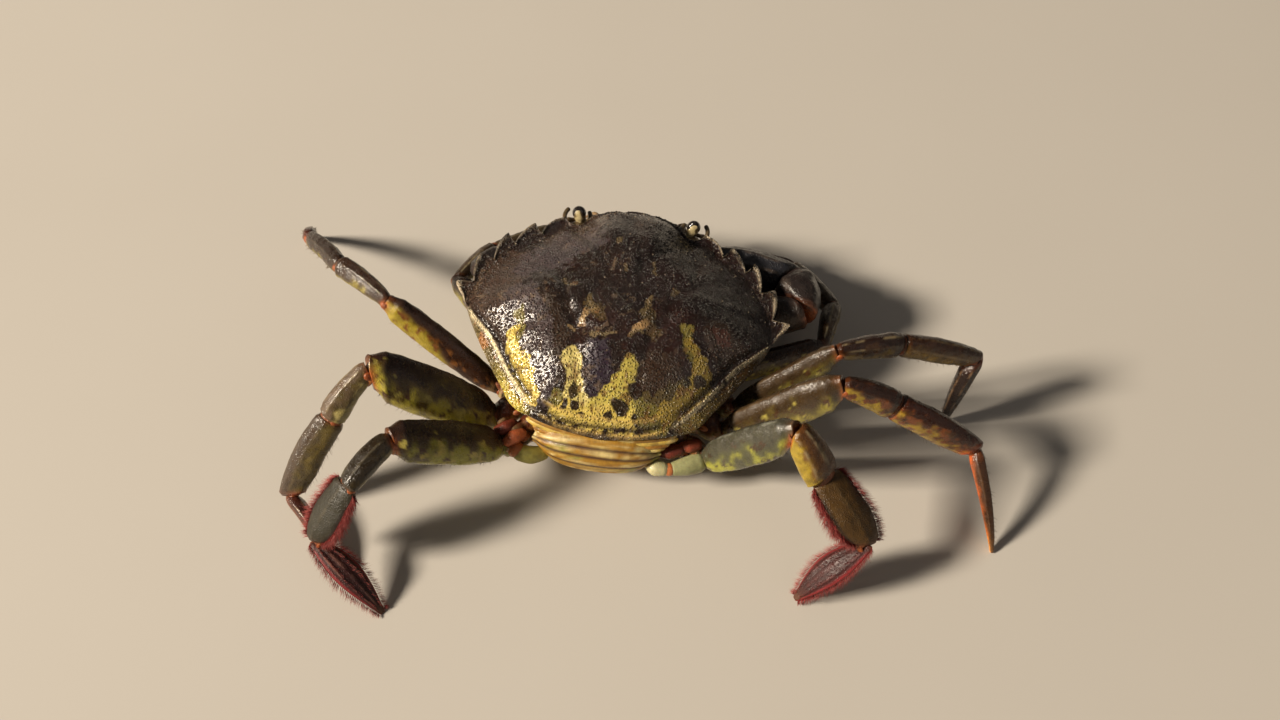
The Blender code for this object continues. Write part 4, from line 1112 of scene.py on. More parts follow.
# claws
clawLook = {
    "hip": dict(legLook["hip"]),
    "merus": {
        "tones": ((0.026, 0.016, 0.012), (0.06, 0.03, 0.014), (0.22, 0.1, 0.03)), "border": -0.3,
        "mottle": 0.4, "keel": 0.1, "bands": ((orangeJoint, 1.0, 0.03, 0.8),),
        "ridges": ((90, 0.2, 0.25, 0.1, 0.95), (0, 0.25, 0.2, 0.1, 0.9))},
    "carpus": {
        "tones": ((0.022, 0.015, 0.013), (0.09, 0.025, 0.012), (0.3, 0.09, 0.025)), "border": -0.25,
        "mottle": 0.4, "keel": 0.0, "lump": 1.6, "lumpHeight": 0.16, "crest": (0.1, 0.07, 0.05),
        "crestHow": 0.3, "bands": ((orangeJoint, 0.0, 0.05, 0.8), (orangeJoint, 1.0, 0.04, 0.7)),
        "ridges": ((60, 0.25, 0.25, 0.1, 0.9), (120, 0.25, 0.2, 0.1, 0.9))},
    # the palm's bluish upper tone: partly its own dark colour, partly painted sky reflection
    "palm": {
        "tones": ((0.018, 0.018, 0.023), (0.075, 0.028, 0.014), (0.3, 0.09, 0.025)), "border": -0.15,
        "mottle": 0.4, "mottleSize": 2.4, "rearward": 0.0, "crest": (0.14, 0.1, 0.07), "crestHow": 0.5,
        "bands": ((creamJoint, 0.0, 0.02, 0.6), ((0.05, 0.03, 0.025), 1.0, 0.12, 0.7)),
        "ridges": ((62, 0.11, 0.26, 0.06, 0.6), (100, 0.11, 0.28, 0.06, 0.6),
                   (135, 0.12, 0.2, 0.06, 0.58), (205, 0.14, 0.18, 0.2, 0.97),
                   (-25, 0.14, 0.18, 0.2, 0.97))},
    "finger": {
        "tones": ((0.032, 0.026, 0.024), (0.05, 0.03, 0.02), (0.12, 0.06, 0.03)), "border": -0.2,
        "mottle": 0.3, "rearward": 0.0, "crest": (0.16, 0.1, 0.06), "crestHow": 0.5,
        "bands": (((0.3, 0.1, 0.03), 0.0, 0.08, 0.6), ((0.36, 0.24, 0.15), 1.0, 0.1, 0.7)),
        "ridges": ((55, 0.14, 0.16, 0.08, 0.9), (90, 0.14, 0.16, 0.08, 0.9), (125, 0.14, 0.16, 0.08, 0.9),
                   (0, 0.2, 0.1, 0.1, 0.9), (180, 0.2, 0.1, 0.1, 0.9))},
}
clawLook = {part: {**plainLook, **look} for part, look in clawLook.items()}
clawMerusShape = ((0.0, 0.56), (0.07, 0.74), (0.28, 0.92), (0.58, 1.0), (0.86, 0.95), (1.0, 0.78))
clawCarpusShape = ((0.0, 0.7), (0.3, 0.94), (0.55, 1.0), (0.75, 0.97), (1.0, 0.78))
palmTable = np.array((  # share of length, half height, half thickness, lift
    (0.0, 3.0, 2.6, 0.0), (0.04, 4.0, 3.3, 0.0), (0.1, 4.7, 3.6, 0.1), (0.22, 5.4, 3.9, 0.2),
    (0.36, 5.8, 3.95, 0.2), (0.48, 5.6, 3.75, 0.0), (0.56, 4.7, 3.4, -0.6), (0.61, 2.9, 2.8, -2.6),
    (0.66, 2.3, 2.4, -3.0), (0.74, 2.0, 2.0, -2.95), (0.84, 1.65, 1.65, -2.65), (0.92, 1.25, 1.25, -2.1),
    (0.97, 0.8, 0.8, -1.55), (1.0, 0.25, 0.25, -1.15)))
fingerTable = np.array((
    (0.62, 1.3, 1.4, 2.7), (0.64, 1.9, 1.9, 2.65), (0.67, 2.1, 2.05, 2.55), (0.74, 1.95, 1.9, 2.5),
    (0.84, 1.6, 1.5, 2.1), (0.92, 1.15, 1.1, 1.35), (0.97, 0.7, 0.65, 0.7), (1.0, 0.25, 0.25, 0.2)))


def chelaPart(name, table, base, run, rear, up, scale, look, seed, rows, cols, plane=None):
    t = np.linspace(table[0, 0], table[-1, 0], rows)
    share = (t - t[0]) / (t[-1] - t[0])
    t = mix(t, t[0] + (t[-1] - t[0]) * np.sin(share * math.pi / 2), 0.35)
    tall, wide, lift = [(smoothLine(table[:, (0, k)], t) * scale)[:, None] for k in (1, 2, 3)]
    turn = ringTurn(cols)
    fore, over = np.cos(turn), np.sin(turn)
    along = ((t - t[0]) / (t[-1] - t[0]))[:, None]
    ridge = ridgeField(turn, along, look["ridges"], 0.05)
    outward = unit(fore[..., None] * rear + over[..., None] * up)
    spread = (wide * squared(fore, 0.9) * (1 - 0.1 * over))[..., None] * rear
    spread = spread + (tall * squared(over, 0.9) + lift)[..., None] * up
    ridged = outward * (ridge * np.sqrt(tall / tall.max()))[..., None]
    grid = base + t[:, None, None] * run + spread + ridged
    if plane is not None:
        beyond = (grid - plane[0]) @ plane[1] - 0.12
        push = np.where(beyond < 0, beyond, beyond * np.clip(1 - along / 0.12, 0, 1) ** 2)
        direction = unit(run)
        grid = grid - direction * (push / (direction @ plane[1]))[..., None]
    grid = roughen(grid, outward, look, seed)
    along, fore, over = [np.broadcast_to(value, (rows, cols)) for value in (along, fore, over)]
    tint = paintLimb(look, grid, along, fore, over, ridge, seed)
    skinPiece(skinName(name), tube(grid, 0.5, 0.3), tint, clawFinish, (name,))


def clawTeeth(side, base, run, rear, up, scale):  # blunt teeth along the two cutting edges
    bodies = Bodies()
    for table, way, first, last, count in ((palmTable, 1, 0.645, 0.95, 11),
                                           (fingerTable, -1, 0.68, 0.95, 10)):
        for k, t in enumerate(np.linspace(first, last, count)):
            tall, lift = [smoothLine(table[:, (0, c)], np.array([t]))[0] * scale for c in (1, 3)]
            size = scale * (0.62 - 0.3 * k / count) * (1.25 if k in (1, 4) else 0.9)
            spot = base + t * run + up * (lift + way * tall * 0.96)
            radii = (size * 0.95, size * 0.75, size * 0.62)
            bodies.add(*ball(spot, np.stack([unit(run), rear, up * way]), radii, 6, 10), (0.4, 0.3, 0.2))
    bodies.make("claw%sTeeth" % side, clawFinish)


def buildClaw(side):
    names = ["claw_%s_%s" % (part, side) for part in ("hip", "merus", "carpus", "palm")]
    joints = chainJoints(names)
    seed = 70 if side == "L" else 80
    bits = []
    for k, (part, shape, slim) in enumerate(clawParts):
        look = clawLook[part]
        # the left claw goes without its orange joint bands: painted shade
        if side == "L":
            look, shape = {**look, "bands": ()}, slimmer(shape, slim)
        bits.append(limbPiece(names[k], joints[k], joints[k + 1], shape, look, 0, seed + k,
                              limbFinish if k == 0 else clawFinish))
    base, tip = joints[3][0], joints[4][0]
    scale = np.linalg.norm(tip - base) / 30.1
    for again in range(4):  # the tip's flat lies a little below the line of the claw
        rear, up = limbAxes(unit(tip - base))
        tip = joints[4][0] + up * 1.1 * scale
    run = tip - base
    chelaPart(names[3], palmTable, base, run, rear, up, scale, clawLook["palm"], seed + 4, 92, 80,
              joints[3])
    chelaPart("claw_finger_" + side, fingerTable, base, run, rear, up, scale, clawLook["finger"], seed + 5,
              60, 56)
    clawTeeth(side, base, run, rear, up, scale)
    soft = Bodies()
    rootRod(soft, bits[0], (0.2, -0.4, -0.9), (0.86, 0.9, 0.75))
    hand = {"run": run, "rear": rear, "up": up}
    for k, after in ((1, bits[1]), (2, bits[2]), (3, hand)):
        tall, wide = bits[k - 1]["girth"]
        jointFill(soft, joints[k], bits[k - 1], after, (tall * 0.58, wide * 0.6),
                  (tall * 0.56, wide * 0.58))
    spot = bits[2]["start"] + bits[2]["run"] * 0.62  # the spike on the inner side of the elbow
    inner = unit(np.array([-1 if side == "R" else 1, 0.9, 0.15]))
    path = [spot + inner * reach for reach in (2.6, 3.9, 5.0, 5.7)]
    soft.add(*rod(path, (1.15, 0.75, 0.4, 0.12), 14), (0.1, 0.06, 0.035))
    hinge = base + 0.625 * run + up * 2.6 * scale
    for sign in (-1, 1):
        radii = np.array((0.62, 0.32, 0.62)) * scale
        soft.add(*ball(hinge + rear * sign * 2.0 * scale, axesOf(hand), radii, 8, 14), (0.24, 0.1, 0.04))
    soft.make("claw%sJoints" % side, softFinish)


clawParts = (("hip", hipShape, 0.87), ("merus", clawMerusShape, 0.8), ("carpus", clawCarpusShape, 0.87))
for side in "LR":
    buildClaw(side)
tell("claws")


# underside: tail flap, sternum, face frame and mouth plates
tailLine = np.array((  # y, z and half width, from under the shell's rear edge to the tip
    (-25.0, -4.0, 11.4), (-26.5, -5.1, 12.0), (-27.4, -6.6, 11.9), (-27.7, -8.2, 11.3),
    (-27.5, -9.8, 10.6), (-26.6, -11.7, 9.8), (-24.6, -13.1, 9.0), (-21.5, -14.1, 8.2),
    (-18.0, -14.4, 7.2), (-14.5, -14.45, 6.2), (-11.0, -14.4, 5.0), (-7.5, -14.35, 3.8),
    (-4.6, -14.3, 2.0)))
tailSeams = (0.045, 0.09, 0.15, 0.235, 0.36, 0.5, 0.68, 0.86)


def tailPiece():
    rows, cols = 150, 56
    line = smoothPath(np.concatenate([np.zeros((len(tailLine), 1)), tailLine], 1), rows)
    t = np.linspace(0, 1, rows)[:, None]
    run = unit(np.gradient(line[:, :3], axis=0))
    out = np.stack([np.zeros(rows), run[:, 2], -run[:, 1]], -1)
    half, keel, seam = line[:, 3].copy(), np.zeros((rows, 1)), np.zeros((rows, 1))
    for at in tailSeams:
        keel += 0.34 * swell(t, at - 0.014, 0.014)
        seam += swell(t, at + 0.01, 0.009)
        half = half - 0.35 * swell(t[:, 0], at + 0.008, 0.012)
    turn = ringTurn(cols)
    u, lift = squared(np.cos(turn), 0.75), np.sin(turn)
    outer = 0.55 * (0.5 + 0.5 * lift) ** 0.6 * (1 - 0.75 * u**2)
    outer = outer + (keel - 0.22 * seam) * step(0.0, 0.6, lift) * (1 - 0.6 * u**4)
    arch = 0.25 * swell(u, 0, 0.35) * step(0, 0.5, lift)
    depth = np.where(lift > 0, 0.55 * (1 - lift) + 0.55 * u**4, 0.55 - 1.0 * lift * (1 - 0.5 * u**2))
    offset = 0.35 * (outer + arch) + 0.2 - depth - 0.65 * u**2 - 1.5 * abs(u) ** 6 * (t < 0.4)
    across = (u * half[:, None])[..., None] * (1.0, 0.0, 0.0)
    grid = line[:, None, :3] + across + out[:, None] * offset[..., None]
    mottle = cloudNoise(grid, 1.3, 151)
    tint = laid((0.42, 0.22, 0.022), (0.56, 0.38, 0.08), step(-0.1, 0.6, mottle))
    tint = laid(tint, (0.36, 0.4, 0.09), step(0.3, 0.7, cloudNoise(grid, 1.8, 155)) * 0.7)
    tint = laid(tint, (0.48, 0.36, 0.14), step(0.55, 0.9, t))
    tint = laid(tint, (0.06, 0.022, 0.008), np.clip(seam * 1.1, 0, 1))
    # cream on the raised keels: painted highlight
    tint = laid(tint, (0.76, 0.62, 0.3), np.clip(keel / 0.3, 0, 1) * step(-0.3, 0.4, mottle) * 0.7)
    tint = laid(tint, (0.2, 0.08, 0.02), step(0.35, 0.6, cloudNoise(grid, 0.9, 161, 2)) * 0.45)
    rear = 1 - step(0.3, 0.6, t)  # the part in sight lies a little to the left and is narrower
    grid[..., 0] = grid[..., 0] * (1 - 0.085 * rear) - 0.6 * rear
    skinPiece("tailFlap", place(tube(grid, 0.3, 0.3)), tint, bellyFinish, ("abdomen",))


def sternumPiece():
    rows, cols = 60, 120
    half, reach, middle = 11.9, 13.0, -8.2
    turn = (2 * math.pi * np.arange(cols) / cols)[None]
    depth = np.concatenate([np.linspace(0, 1, 14) ** 0.8 * 0.5, np.linspace(0.52, 1, rows - 14)])[:, None]
    side, low = np.clip(depth / 0.5, 0, 1), np.clip((depth - 0.5) / 0.5, 0, 1)
    shrink = np.where(low > 0, np.cos(low * math.pi / 2 * 0.985) ** 0.55, 0.97 + 0.03 * side)
    cos, sin = np.cos(turn), np.sin(turn)
    x = half * squared(cos, 0.7) * (1 - 0.16 * np.maximum(0, -sin)) * shrink
    y = middle + reach * squared(sin, 0.7) * shrink
    lines = np.zeros(x.shape)
    for at in (3.6, -0.6, -5.2, -9.9, -14.4, -18.6):
        lines = np.maximum(lines, swell(y - at - 0.1 * abs(x), 0, 0.28) * step(2.0, 4.0, abs(x)))
    z = np.where(low > 0, -10.6 - 2.0 * np.sin(low * math.pi / 2), mix(-7.2, -10.6, side))
    z = z + step(0.0, 0.4, low) * (0.45 * lines + 0.5 * swell(x, 0, 2.4))
    grid = np.stack([x, y, z], -1)
    tint = laid((0.5, 0.4, 0.2), (0.42, 0.3, 0.11), step(-0.2, 0.6, cloudNoise(grid, 2.0, 171)))
    tint = laid(tint, (0.24, 0.12, 0.04), lines * 0.8)
    skinPiece("breastPlate", place(tube(grid, 0.2, 0.2)), tint, bellyFinish, ("sternum",))


faceTable = np.array((
    (8.0, 4.9, -9.0, -7.3), (12.0, 7.2, -9.0, -6.0), (16.2, 8.0, -7.4, -4.3), (17.8, 7.4, -6.0, -3.7),
    (18.5, 6.2, -5.0, -3.45)))


def facePiece():
    rows, cols = 60, 72
    y = np.linspace(8.0, 18.5, rows)
    half, low, high = [smoothLine(faceTable[:, (0, k)], y)[:, None] for k in (1, 2, 3)]
    turn = ringTurn(cols)
    cos, sin = np.cos(turn), np.sin(turn)
    x = half * squared(cos, 0.55)
    z = (high + low) / 2 + (high - low) / 2 * squared(sin, 0.55)
    y = np.broadcast_to(y[:, None], x.shape)
    front = step(15.0, 17.5, y)
    z = z + front * (0.35 * swell(abs(x), 3.0, 1.1) - 0.3 * swell(x, 0, 0.5)) * step(-0.2, 0.6, sin)
    y = y + front * (0.3 * swell(abs(x), 2.2, 1.2) - 0.4 * swell(abs(x), 4.6, 0.6))
    grid = np.stack([x, y, z], -1)
    grid = grid + 0.05 * cloudNoise(grid, 1.0, 181)[..., None]
    tint = laid((0.24, 0.17, 0.07), (0.1, 0.06, 0.03), step(-0.2, 0.5, cloudNoise(grid, 1.6, 191)))
    skinPiece("mouthFrame", place(tube(grid, 0.2, 0.2)), tint, bellyFinish, ("face",))


mouthTable = np.array((
    (5.2, -12.4, 0.6, 4.6), (6.6, -12.2, 0.3, 5.6), (10.0, -11.0, 0.25, 6.6), (13.2, -9.8, 0.25, 7.3),
    (15.6, -8.5, 0.5, 6.2)))


def slab(corners, thick, groove=0.0, bulge=0.3):  # a rounded plate over four corners, thick upwards
    rows, cols = 22, 40
    a, b, c, d = [np.array(corner, float) for corner in corners]
    turn = ringTurn(cols)
    rise = np.linspace(-1, 1, rows)[:, None] * math.pi / 2 * 0.96
    size = np.cos(rise) ** 0.35
    u, v = [np.clip(0.5 + 0.5 * squared(wave, 0.42) * size, 0, 1) for wave in (np.cos(turn), np.sin(turn))]
    flat = (a * ((1 - u) * (1 - v))[..., None] + b * (u * (1 - v))[..., None] + c * (u * v)[..., None]
            + d * ((1 - u) * v)[..., None])
    facing = unit(np.cross(b - a, d - a))
    facing = facing * (1 if facing[2] > 0 else -1)
    under = np.clip(-np.sin(rise), 0, 1)
    lift = np.sin(rise) * thick / 2 - bulge * under * (1 - (2 * u - 1) ** 2)
    lift = lift + groove * swell(u, 0.36, 0.1) * under
    return tube(flat + facing * lift[..., None], 0.2, 0.2), tubeFaces(rows, cols)


def mouthPiece(side, sign):  # one outer mouthpart: base plate, end plate, jointed palp and side branch
    def at(y, across, lift=0.0):
        z, inner, outer = [smoothLine(mouthTable[:, (0, k)], np.array([float(y)]))[0] for k in (1, 2, 3)]
        return np.array([mix(inner, outer, across) * sign, y, z + lift])

    bodies = Bodies()
    base = (at(5.4, 0.02), at(5.4, 0.66), at(12.1, 0.62), at(12.1, 0.02))
    endPlate = (at(12.4, 0.04), at(12.4, 0.62), at(15.5, 0.7), at(15.2, 0.06))
    t = np.linspace(0, 1, 18)
    palp = smoothPath([at(14.9, 0.12, -0.3), at(14.2, 0.02, -0.75), at(12.6, 0.06, -0.85),
                       at(11.2, 0.14, -0.75)], 18)
    palpRadii = 0.5 - 0.2 * t + 0.07 * np.cos(np.linspace(0, 6 * math.pi, 18))
    branch = smoothPath([at(5.4, 0.8, 0.1), at(8.5, 0.86, 0.0), at(12.0, 0.84, 0.0), at(14.6, 0.8, 0.2)],
                        22)
    branchRadii = 0.62 - 0.25 * np.linspace(0, 1, 22) ** 2
    for (points, faces), tint in ((slab(base, 0.95, groove=0.3), (0.36, 0.27, 0.1)),
                                  (slab(endPlate, 0.85, bulge=0.22), (0.3, 0.22, 0.08)),
                                  (rod(palp, palpRadii, 12), (0.42, 0.25, 0.1)),
                                  (rod(branch, branchRadii, 14, 0.8), (0.3, 0.18, 0.07))):
        bodies.add(place(points), faces, tint)
    bodies.make("mouthPlate" + side, bellyFinish, ("maxilliped_" + side,))


tailPiece()
sternumPiece()
facePiece()
for side, sign in (("L", -1), ("R", 1)):
    mouthPiece(side, sign)
tell("underside")


# head: eyes on stalks in their sockets, feelers and the small folded feelers between them
eyeFoot, eyeTop, eyeRadius = np.array([9.9, 17.6, -1.4]), np.array([10.8, 18.6, 2.3]), 1.12
eyeFront = 4.7  # angle round the stalk
stalkShape = (
    (0, 0.8), (0.12, 0.96), (0.25, 0.86), (0.36, 0.88), (0.55, 1.02), (0.68, 1.0), (0.8, 0.9),
    (0.92, 0.62), (1, 0.28))
socketLine = ((10.2, 14.0, -1.9), (10.4, 15.4, -1.6), (10.6, 16.6, -1.3))
socketEdge = (
    (8.3, 18.0, -1.9), (9.3, 19.2, -2.2), (10.8, 19.5, -2.3), (12.4, 18.9, -2.0), (13.4, 17.7, -1.4))
socketTooth = ((8.9, 18.7, -2.3), (8.9, 19.5, -1.9), (8.9, 20.1, -1.3))


def corneaFinish():
    finish, tree, shader = startFinish("cornea")
    where = overPlace(tree)
    facets = cells(tree, where, 0.09)
    colour = blend(tree, noise(tree, where, 0.5, 2), (0.006, 0.005, 0.006), (0.02, 0.014, 0.012))
    normal = bump(tree, remap(tree, facets, 0.0, 0.6, 1.0, 0.0), 0.012, 0.5)
    finishWith(tree, shader, colour, 0.1, normal, 0.8, 0.03)
    return finish


def eyePiece(side, sign):
    foot, top = place(eyeFoot, sign), place(eyeTop, sign)
    rise, length = unit(top - foot), np.linalg.norm(top - foot)
    across = unit(np.cross(rise, [0, 1, 0]))
    ahead = np.cross(across, rise)
    rows, cols = 40, 40
    t, turn = np.linspace(0, 1, rows)[:, None], ringTurn(cols)
    size = smoothLine(stalkShape, t) * eyeRadius
    ring = np.cos(turn)[..., None] * across + np.sin(turn)[..., None] * ahead
    notch = 0.1 * swell(turnFrom(turn, eyeFront), 0, 0.5) * step(0.45, 0.6, t)
    grid = foot + (t * length)[..., None] * rise + ring * size[..., None] - ring * notch[..., None]
    # a pale stripe down the stalk's rear side: painted highlight
    pale = cloudNoise(grid, 0.8, 201) + 0.6 * swell(turn, eyeFront, 0.6)
    tint = laid((0.1, 0.07, 0.035), (0.55, 0.45, 0.24), step(0.0, 0.5, pale))
    skinPiece("eyeStalk" + side, tube(grid, 0.2, 0.2), tint, limbFinish, ("eye_" + side,))
    middle = foot + rise * length * 0.66
    dent = np.exp(-((turnFrom(turn[0], eyeFront) / 0.9) ** 2))
    grid = []
    # a kidney-shaped cap over the front and the stalk's end
    for a in np.linspace(-1, 1, 26)[1:-1] * math.pi / 2:
        wide = math.cos(a) * 1.14 * eyeRadius * (1 - 0.3 * dent * (a < 0.9))
        level, deep = np.cos(turn[0]) * wide, np.sin(turn[0]) * wide
        grid.append(middle + level[:, None] * across + deep[:, None] * ahead
                    + rise * math.sin(a) * length * (0.35 if a > 0 else 0.26))
    makePiece("eyeLens" + side, tube(np.array(grid)), tubeFaces(len(grid), cols), corneaFinish())
    bodies = Bodies()
    rim = [[10.8 + 2.35 * math.cos(a), 18.2 + 2.35 * math.sin(a), 0.1 + 0.3 * math.sin(a)]
           for a in np.linspace(math.radians(150), math.radians(395), 26)]
    bodies.add(*rod(place(rim, sign), 0.42, 12, 0.9), (0.1, 0.07, 0.035))
    bodies.add(*rod(place(socketLine, sign), (1.9, 1.9, 1.7), 20, 0.8), (0.13, 0.085, 0.035))
    lower = smoothPath(place(socketEdge, sign), 24)
    bodies.add(*rod(lower, 0.5 + 0.12 * np.cos(np.linspace(0, 5 * math.pi, 24)), 12), (0.16, 0.1, 0.045))
    bodies.add(*rod(place(socketTooth, sign), (0.75, 0.5, 0.14), 12), (0.22, 0.14, 0.06))
    bodies.make("eyeSocket" + side, limbFinish)


feelerLine = np.array((
    (6.4, 18.6, -2.6, 1.0), (6.9, 20.0, -2.9, 1.0), (7.2, 21.2, -3.3, 0.7), (7.7, 22.6, -4.2, 0.45),
    (8.6, 24.6, -6.0, 0.36), (9.8, 26.2, -8.4, 0.32), (11.2, 27.2, -11.0, 0.28)))
feelerJoints = (
    ((6.3, 17.9, -2.6), (6.7, 19.6, -2.8), 1.02), ((6.75, 19.7, -2.85), (7.05, 20.8, -3.15), 0.8),
    ((7.1, 20.9, -3.2), (7.4, 21.9, -3.65), 0.6))
feelerGirth = (0.8, 0.92, 0.98, 1, 1, 0.99, 0.97, 0.92, 0.82)
whipRings = 34
smallFeelers = (  # each a line and its radius
    ((0.15, 18.2, -3.5), (1.6, 18.9, -3.75), (3.6, 18.9, -3.7), (5.6, 18.2, -3.5), 0.42),
    ((0.4, 18.6, -4.9), (2.4, 18.9, -5.2), (4.6, 18.5, -5.1), (6.2, 17.6, -4.8), 0.36),
    ((0.1, 18.9, -2.9), (0.05, 19.2, -1.9), (0.05, 19.0, -0.9), 0.34),
    ((1.1, 17.6, -2.3), (2.0, 18.8, -2.1), (3.6, 19.0, -2.2), (4.9, 18.6, -2.3), 0.62),
    ((4.9, 18.7, -2.3), (4.0, 19.5, -2.0), (2.8, 19.7, -1.9), (2.0, 19.5, -2.0), 0.4),
    ((4.7, 18.9, -2.7), (3.8, 19.7, -2.5), (2.8, 19.8, -2.5), (2.3, 19.6, -2.6), 0.26),
)


def feelerPiece(side, sign):  # stout joints, then a whip of many short rings
    line = smoothPath(feelerLine, 200)
    path = place(line[np.linspace(0, 1, 200) >= 0.3][:, :3], sign)
    t = np.linspace(0, 1, len(path))
    bodies = Bodies()
    points, faces = rod(path, mix(0.42, 0.16, t) * (1 + 0.1 * np.sin(t * 2 * math.pi * whipRings)), 12)
    rings = 0.5 + 0.5 * np.sin(np.concatenate([[0, 0], t, [1, 1]]) * 2 * math.pi * whipRings)
    tint = laid((0.1, 0.05, 0.025), (0.34, 0.22, 0.1), np.repeat(rings, 12))
    bodies.add(points, faces, np.concatenate([tint, tint[:1], tint[-1:]]))
    for start, end, radius in feelerJoints:
        path = smoothPath(place([start, mix(np.array(start), np.array(end), 0.5), end], sign), 9)
        bodies.add(*rod(path, radius * np.array(feelerGirth), 16), (0.15, 0.095, 0.045))
    bodies.make("feeler" + side, limbFinish, ("antenna_" + side,))
    small = Bodies()
    for *path, radius in smallFeelers:
        radii = radius * (1 - 0.35 * np.linspace(0, 1, 20)) * (1 + 0.06 * np.sin(np.linspace(0, 40, 20)))
        small.add(*rod(smoothPath(place(path, sign), 20), radii, 12), (0.17, 0.085, 0.045))
    small.make("smallFeeler" + side, limbFinish)


for side, sign in (("L", -1), ("R", 1)):
    eyePiece(side, sign)
    feelerPiece(side, sign)
tell("head")


# what repeats is scattered with Geometry Nodes: grains on the shell, and bristles on the legs
patchSize = 0.003  # of each bristle on the map


def scatterGroup(name, kind):  # kind is "grain" or "bristle"
    tree = bpy.data.node_groups.new(name, "GeometryNodeTree")
    for socket, kindName in (("Geometry", "Geometry"), ("Size", "Float"), ("Variation", "Float"),
                             ("Seed", "Int"), ("Finish", "Material")):
        tree.interface.new_socket(socket, in_out="INPUT", socket_type="NodeSocket" + kindName)
    tree.interface.new_socket("Geometry", in_out="OUTPUT", socket_type="NodeSocketGeometry")

    def add(kindName, inputs=None, output=0, **settings):
        return addNode(tree, kindName, inputs, **settings).outputs[output]

    def named(mark):
        return add("GeometryNodeInputNamedAttribute", {"Name": mark}, data_type="FLOAT_VECTOR")

    given = addNode(tree, "NodeGroupInput").outputs
    turned = add("FunctionNodeAlignRotationToVector", {"Vector": named("aim")}, axis="Z")
    low = add("Math", {0: 1.0, 1: given["Variation"]}, operation="SUBTRACT")
    high = add("Math", {0: 1.0, 1: given["Variation"]}, operation="ADD")
    chance = add("FunctionNodeRandomValue", {2: low, 3: high, "Seed": given["Seed"]}, 1, data_type="FLOAT")
    grown = add("VectorMath", {0: named("size"), "Scale": chance}, operation="SCALE")
    whole = add("VectorMath", {0: grown, "Scale": given["Size"]}, operation="SCALE")
    if kind == "grain":
        shape = add("GeometryNodeMeshIcoSphere", {"Radius": 1.0, "Subdivisions": 1})
    else:
        cone = {"Vertices": 4, "Radius Top": 0.12, "Radius Bottom": 1.0, "Depth": 1.0}
        shape = add("GeometryNodeMeshCone", cone, fill_type="NGON")
    made = add("GeometryNodeInstanceOnPoints",
               {"Points": given["Geometry"], "Instance": shape, "Rotation": turned, "Scale": whole})
    made = add("GeometryNodeRealizeInstances", {"Geometry": made})
    if kind == "bristle":  # each bristle keeps a small patch of the map at its root's place
        half = patchSize / 2
        nudge = add("FunctionNodeRandomValue", {0: (-half,) * 3, 1: (half,) * 3, "Seed": given["Seed"]},
                    data_type="FLOAT_VECTOR")
        spot = add("VectorMath", {0: named("root"), 1: nudge}, operation="ADD")
        made = add("GeometryNodeStoreNamedAttribute", {"Geometry": made, "Name": "OFBake", "Value": spot},
                   data_type="FLOAT2", domain="CORNER")
    made = add("GeometryNodeSetShadeSmooth", {0: made})
    made = add("GeometryNodeSetMaterial", {"Geometry": made, "Material": given["Finish"]})
    feed(tree, addNode(tree, "NodeGroupOutput"), {0: made})
    return tree


def scatterPiece(name, kind, points, aims, sizes, tints, finish, seed, roots=None):
    mesh = bpy.data.meshes.new(name + "Roots")
    mesh.from_pydata((np.asarray(points) * mm).tolist(), [], [])
    for key, values in (("aim", aims), ("size", sizes), ("root", roots)):
        if values is not None:
            mesh.attributes.new(key, "FLOAT_VECTOR",
                                "POINT").data.foreach_set("vector", np.ravel(values).astype("f"))
    setTint(mesh, tints)
    source = addObject(name + "Roots", mesh)
    modifier = source.modifiers.new("scatter", "NODES")
    modifier.node_group = scatterGroup(name + "Nodes", kind)
    values = {"Size": mm, "Variation": 0.25, "Seed": seed, "Finish": finish}
    for item in modifier.node_group.interface.items_tree:
        if item.in_out == "INPUT" and item.name in values:
            modifier[item.identifier] = values[item.name]
    bpy.context.view_layer.update()
    made = bpy.data.meshes.new_from_object(source.evaluated_get(bpy.context.evaluated_depsgraph_get()))
    made.name = name
    bpy.data.objects.remove(source, do_unlink=True)
    if not made.materials:
        made.materials.append(finish)
    return settle(addObject(name, made))


def shellGrains():  # raised grains, thick at the front and on the swellings, with a beaded row at the sides
    chance = np.random.default_rng(11)
    x, y, out, share = [shell[key] for key in ("x", "y", "out", "share")]
    wish = 0.35 + 0.9 * step(-4, 12, y) + 0.5 * step(0.55, 0.95,
                                                     share) + 0.8 * step(-8, -18, x) * step(6, -10, y)
    wish = wish * (0.25 + step(-0.2, 0.5, cloudNoise(np.stack([x, y, 0 * x], -1), 3.0, 301)))
    wish = wish * (1 - step(-16, -22, y) * 0.5) * (out < 0.9)
    pick = chance.random(x.shape) < wish * 0.13
    pick[::2] = False
    points, facing, tint = [shell[key][pick] for key in ("points", "facing", "tint")]
    count = len(points)
    radius = 0.1 + 0.11 * chance.random(count) ** 2
    tint = laid(tint * 1.15, (0.34, 0.27, 0.19), step(0.8, 0.97, chance.random(count)) * 0.7)
    sizes = np.stack([radius, radius, radius * 0.75], -1)
    edge = np.stack([shell["rimX"], shell["rimY"]], -1)
    rimAngle = polarOf(edge[:, 0], edge[:, 1])[0]
    toothed = edge[(rimAngle > 30) & (rimAngle < 96)][::2]
    beads = place(np.concatenate([toothed * 0.992, edgeHeight(toothed[:, 1])[:, None] + 0.12], 1))
    beadSize = np.full((len(beads), 3), 0.17) * (0.8 + 0.4 * chance.random((len(beads), 1)))
    pale = step(0.4, 0.9, chance.random(len(beads))) * 0.8
    points = np.concatenate([points, beads])
    facing = np.concatenate([facing, np.tile([0, 0, 1.0], (len(beads), 1))])
    sizes = np.concatenate([sizes, beadSize])
    tint = np.concatenate([tint, laid((0.1, 0.065, 0.035), (0.62, 0.5, 0.28), pale)])
    print("grains", len(points))
    scatterPiece("shellGrains", "grain", points, facing, sizes, tint, plateFinish, 3)


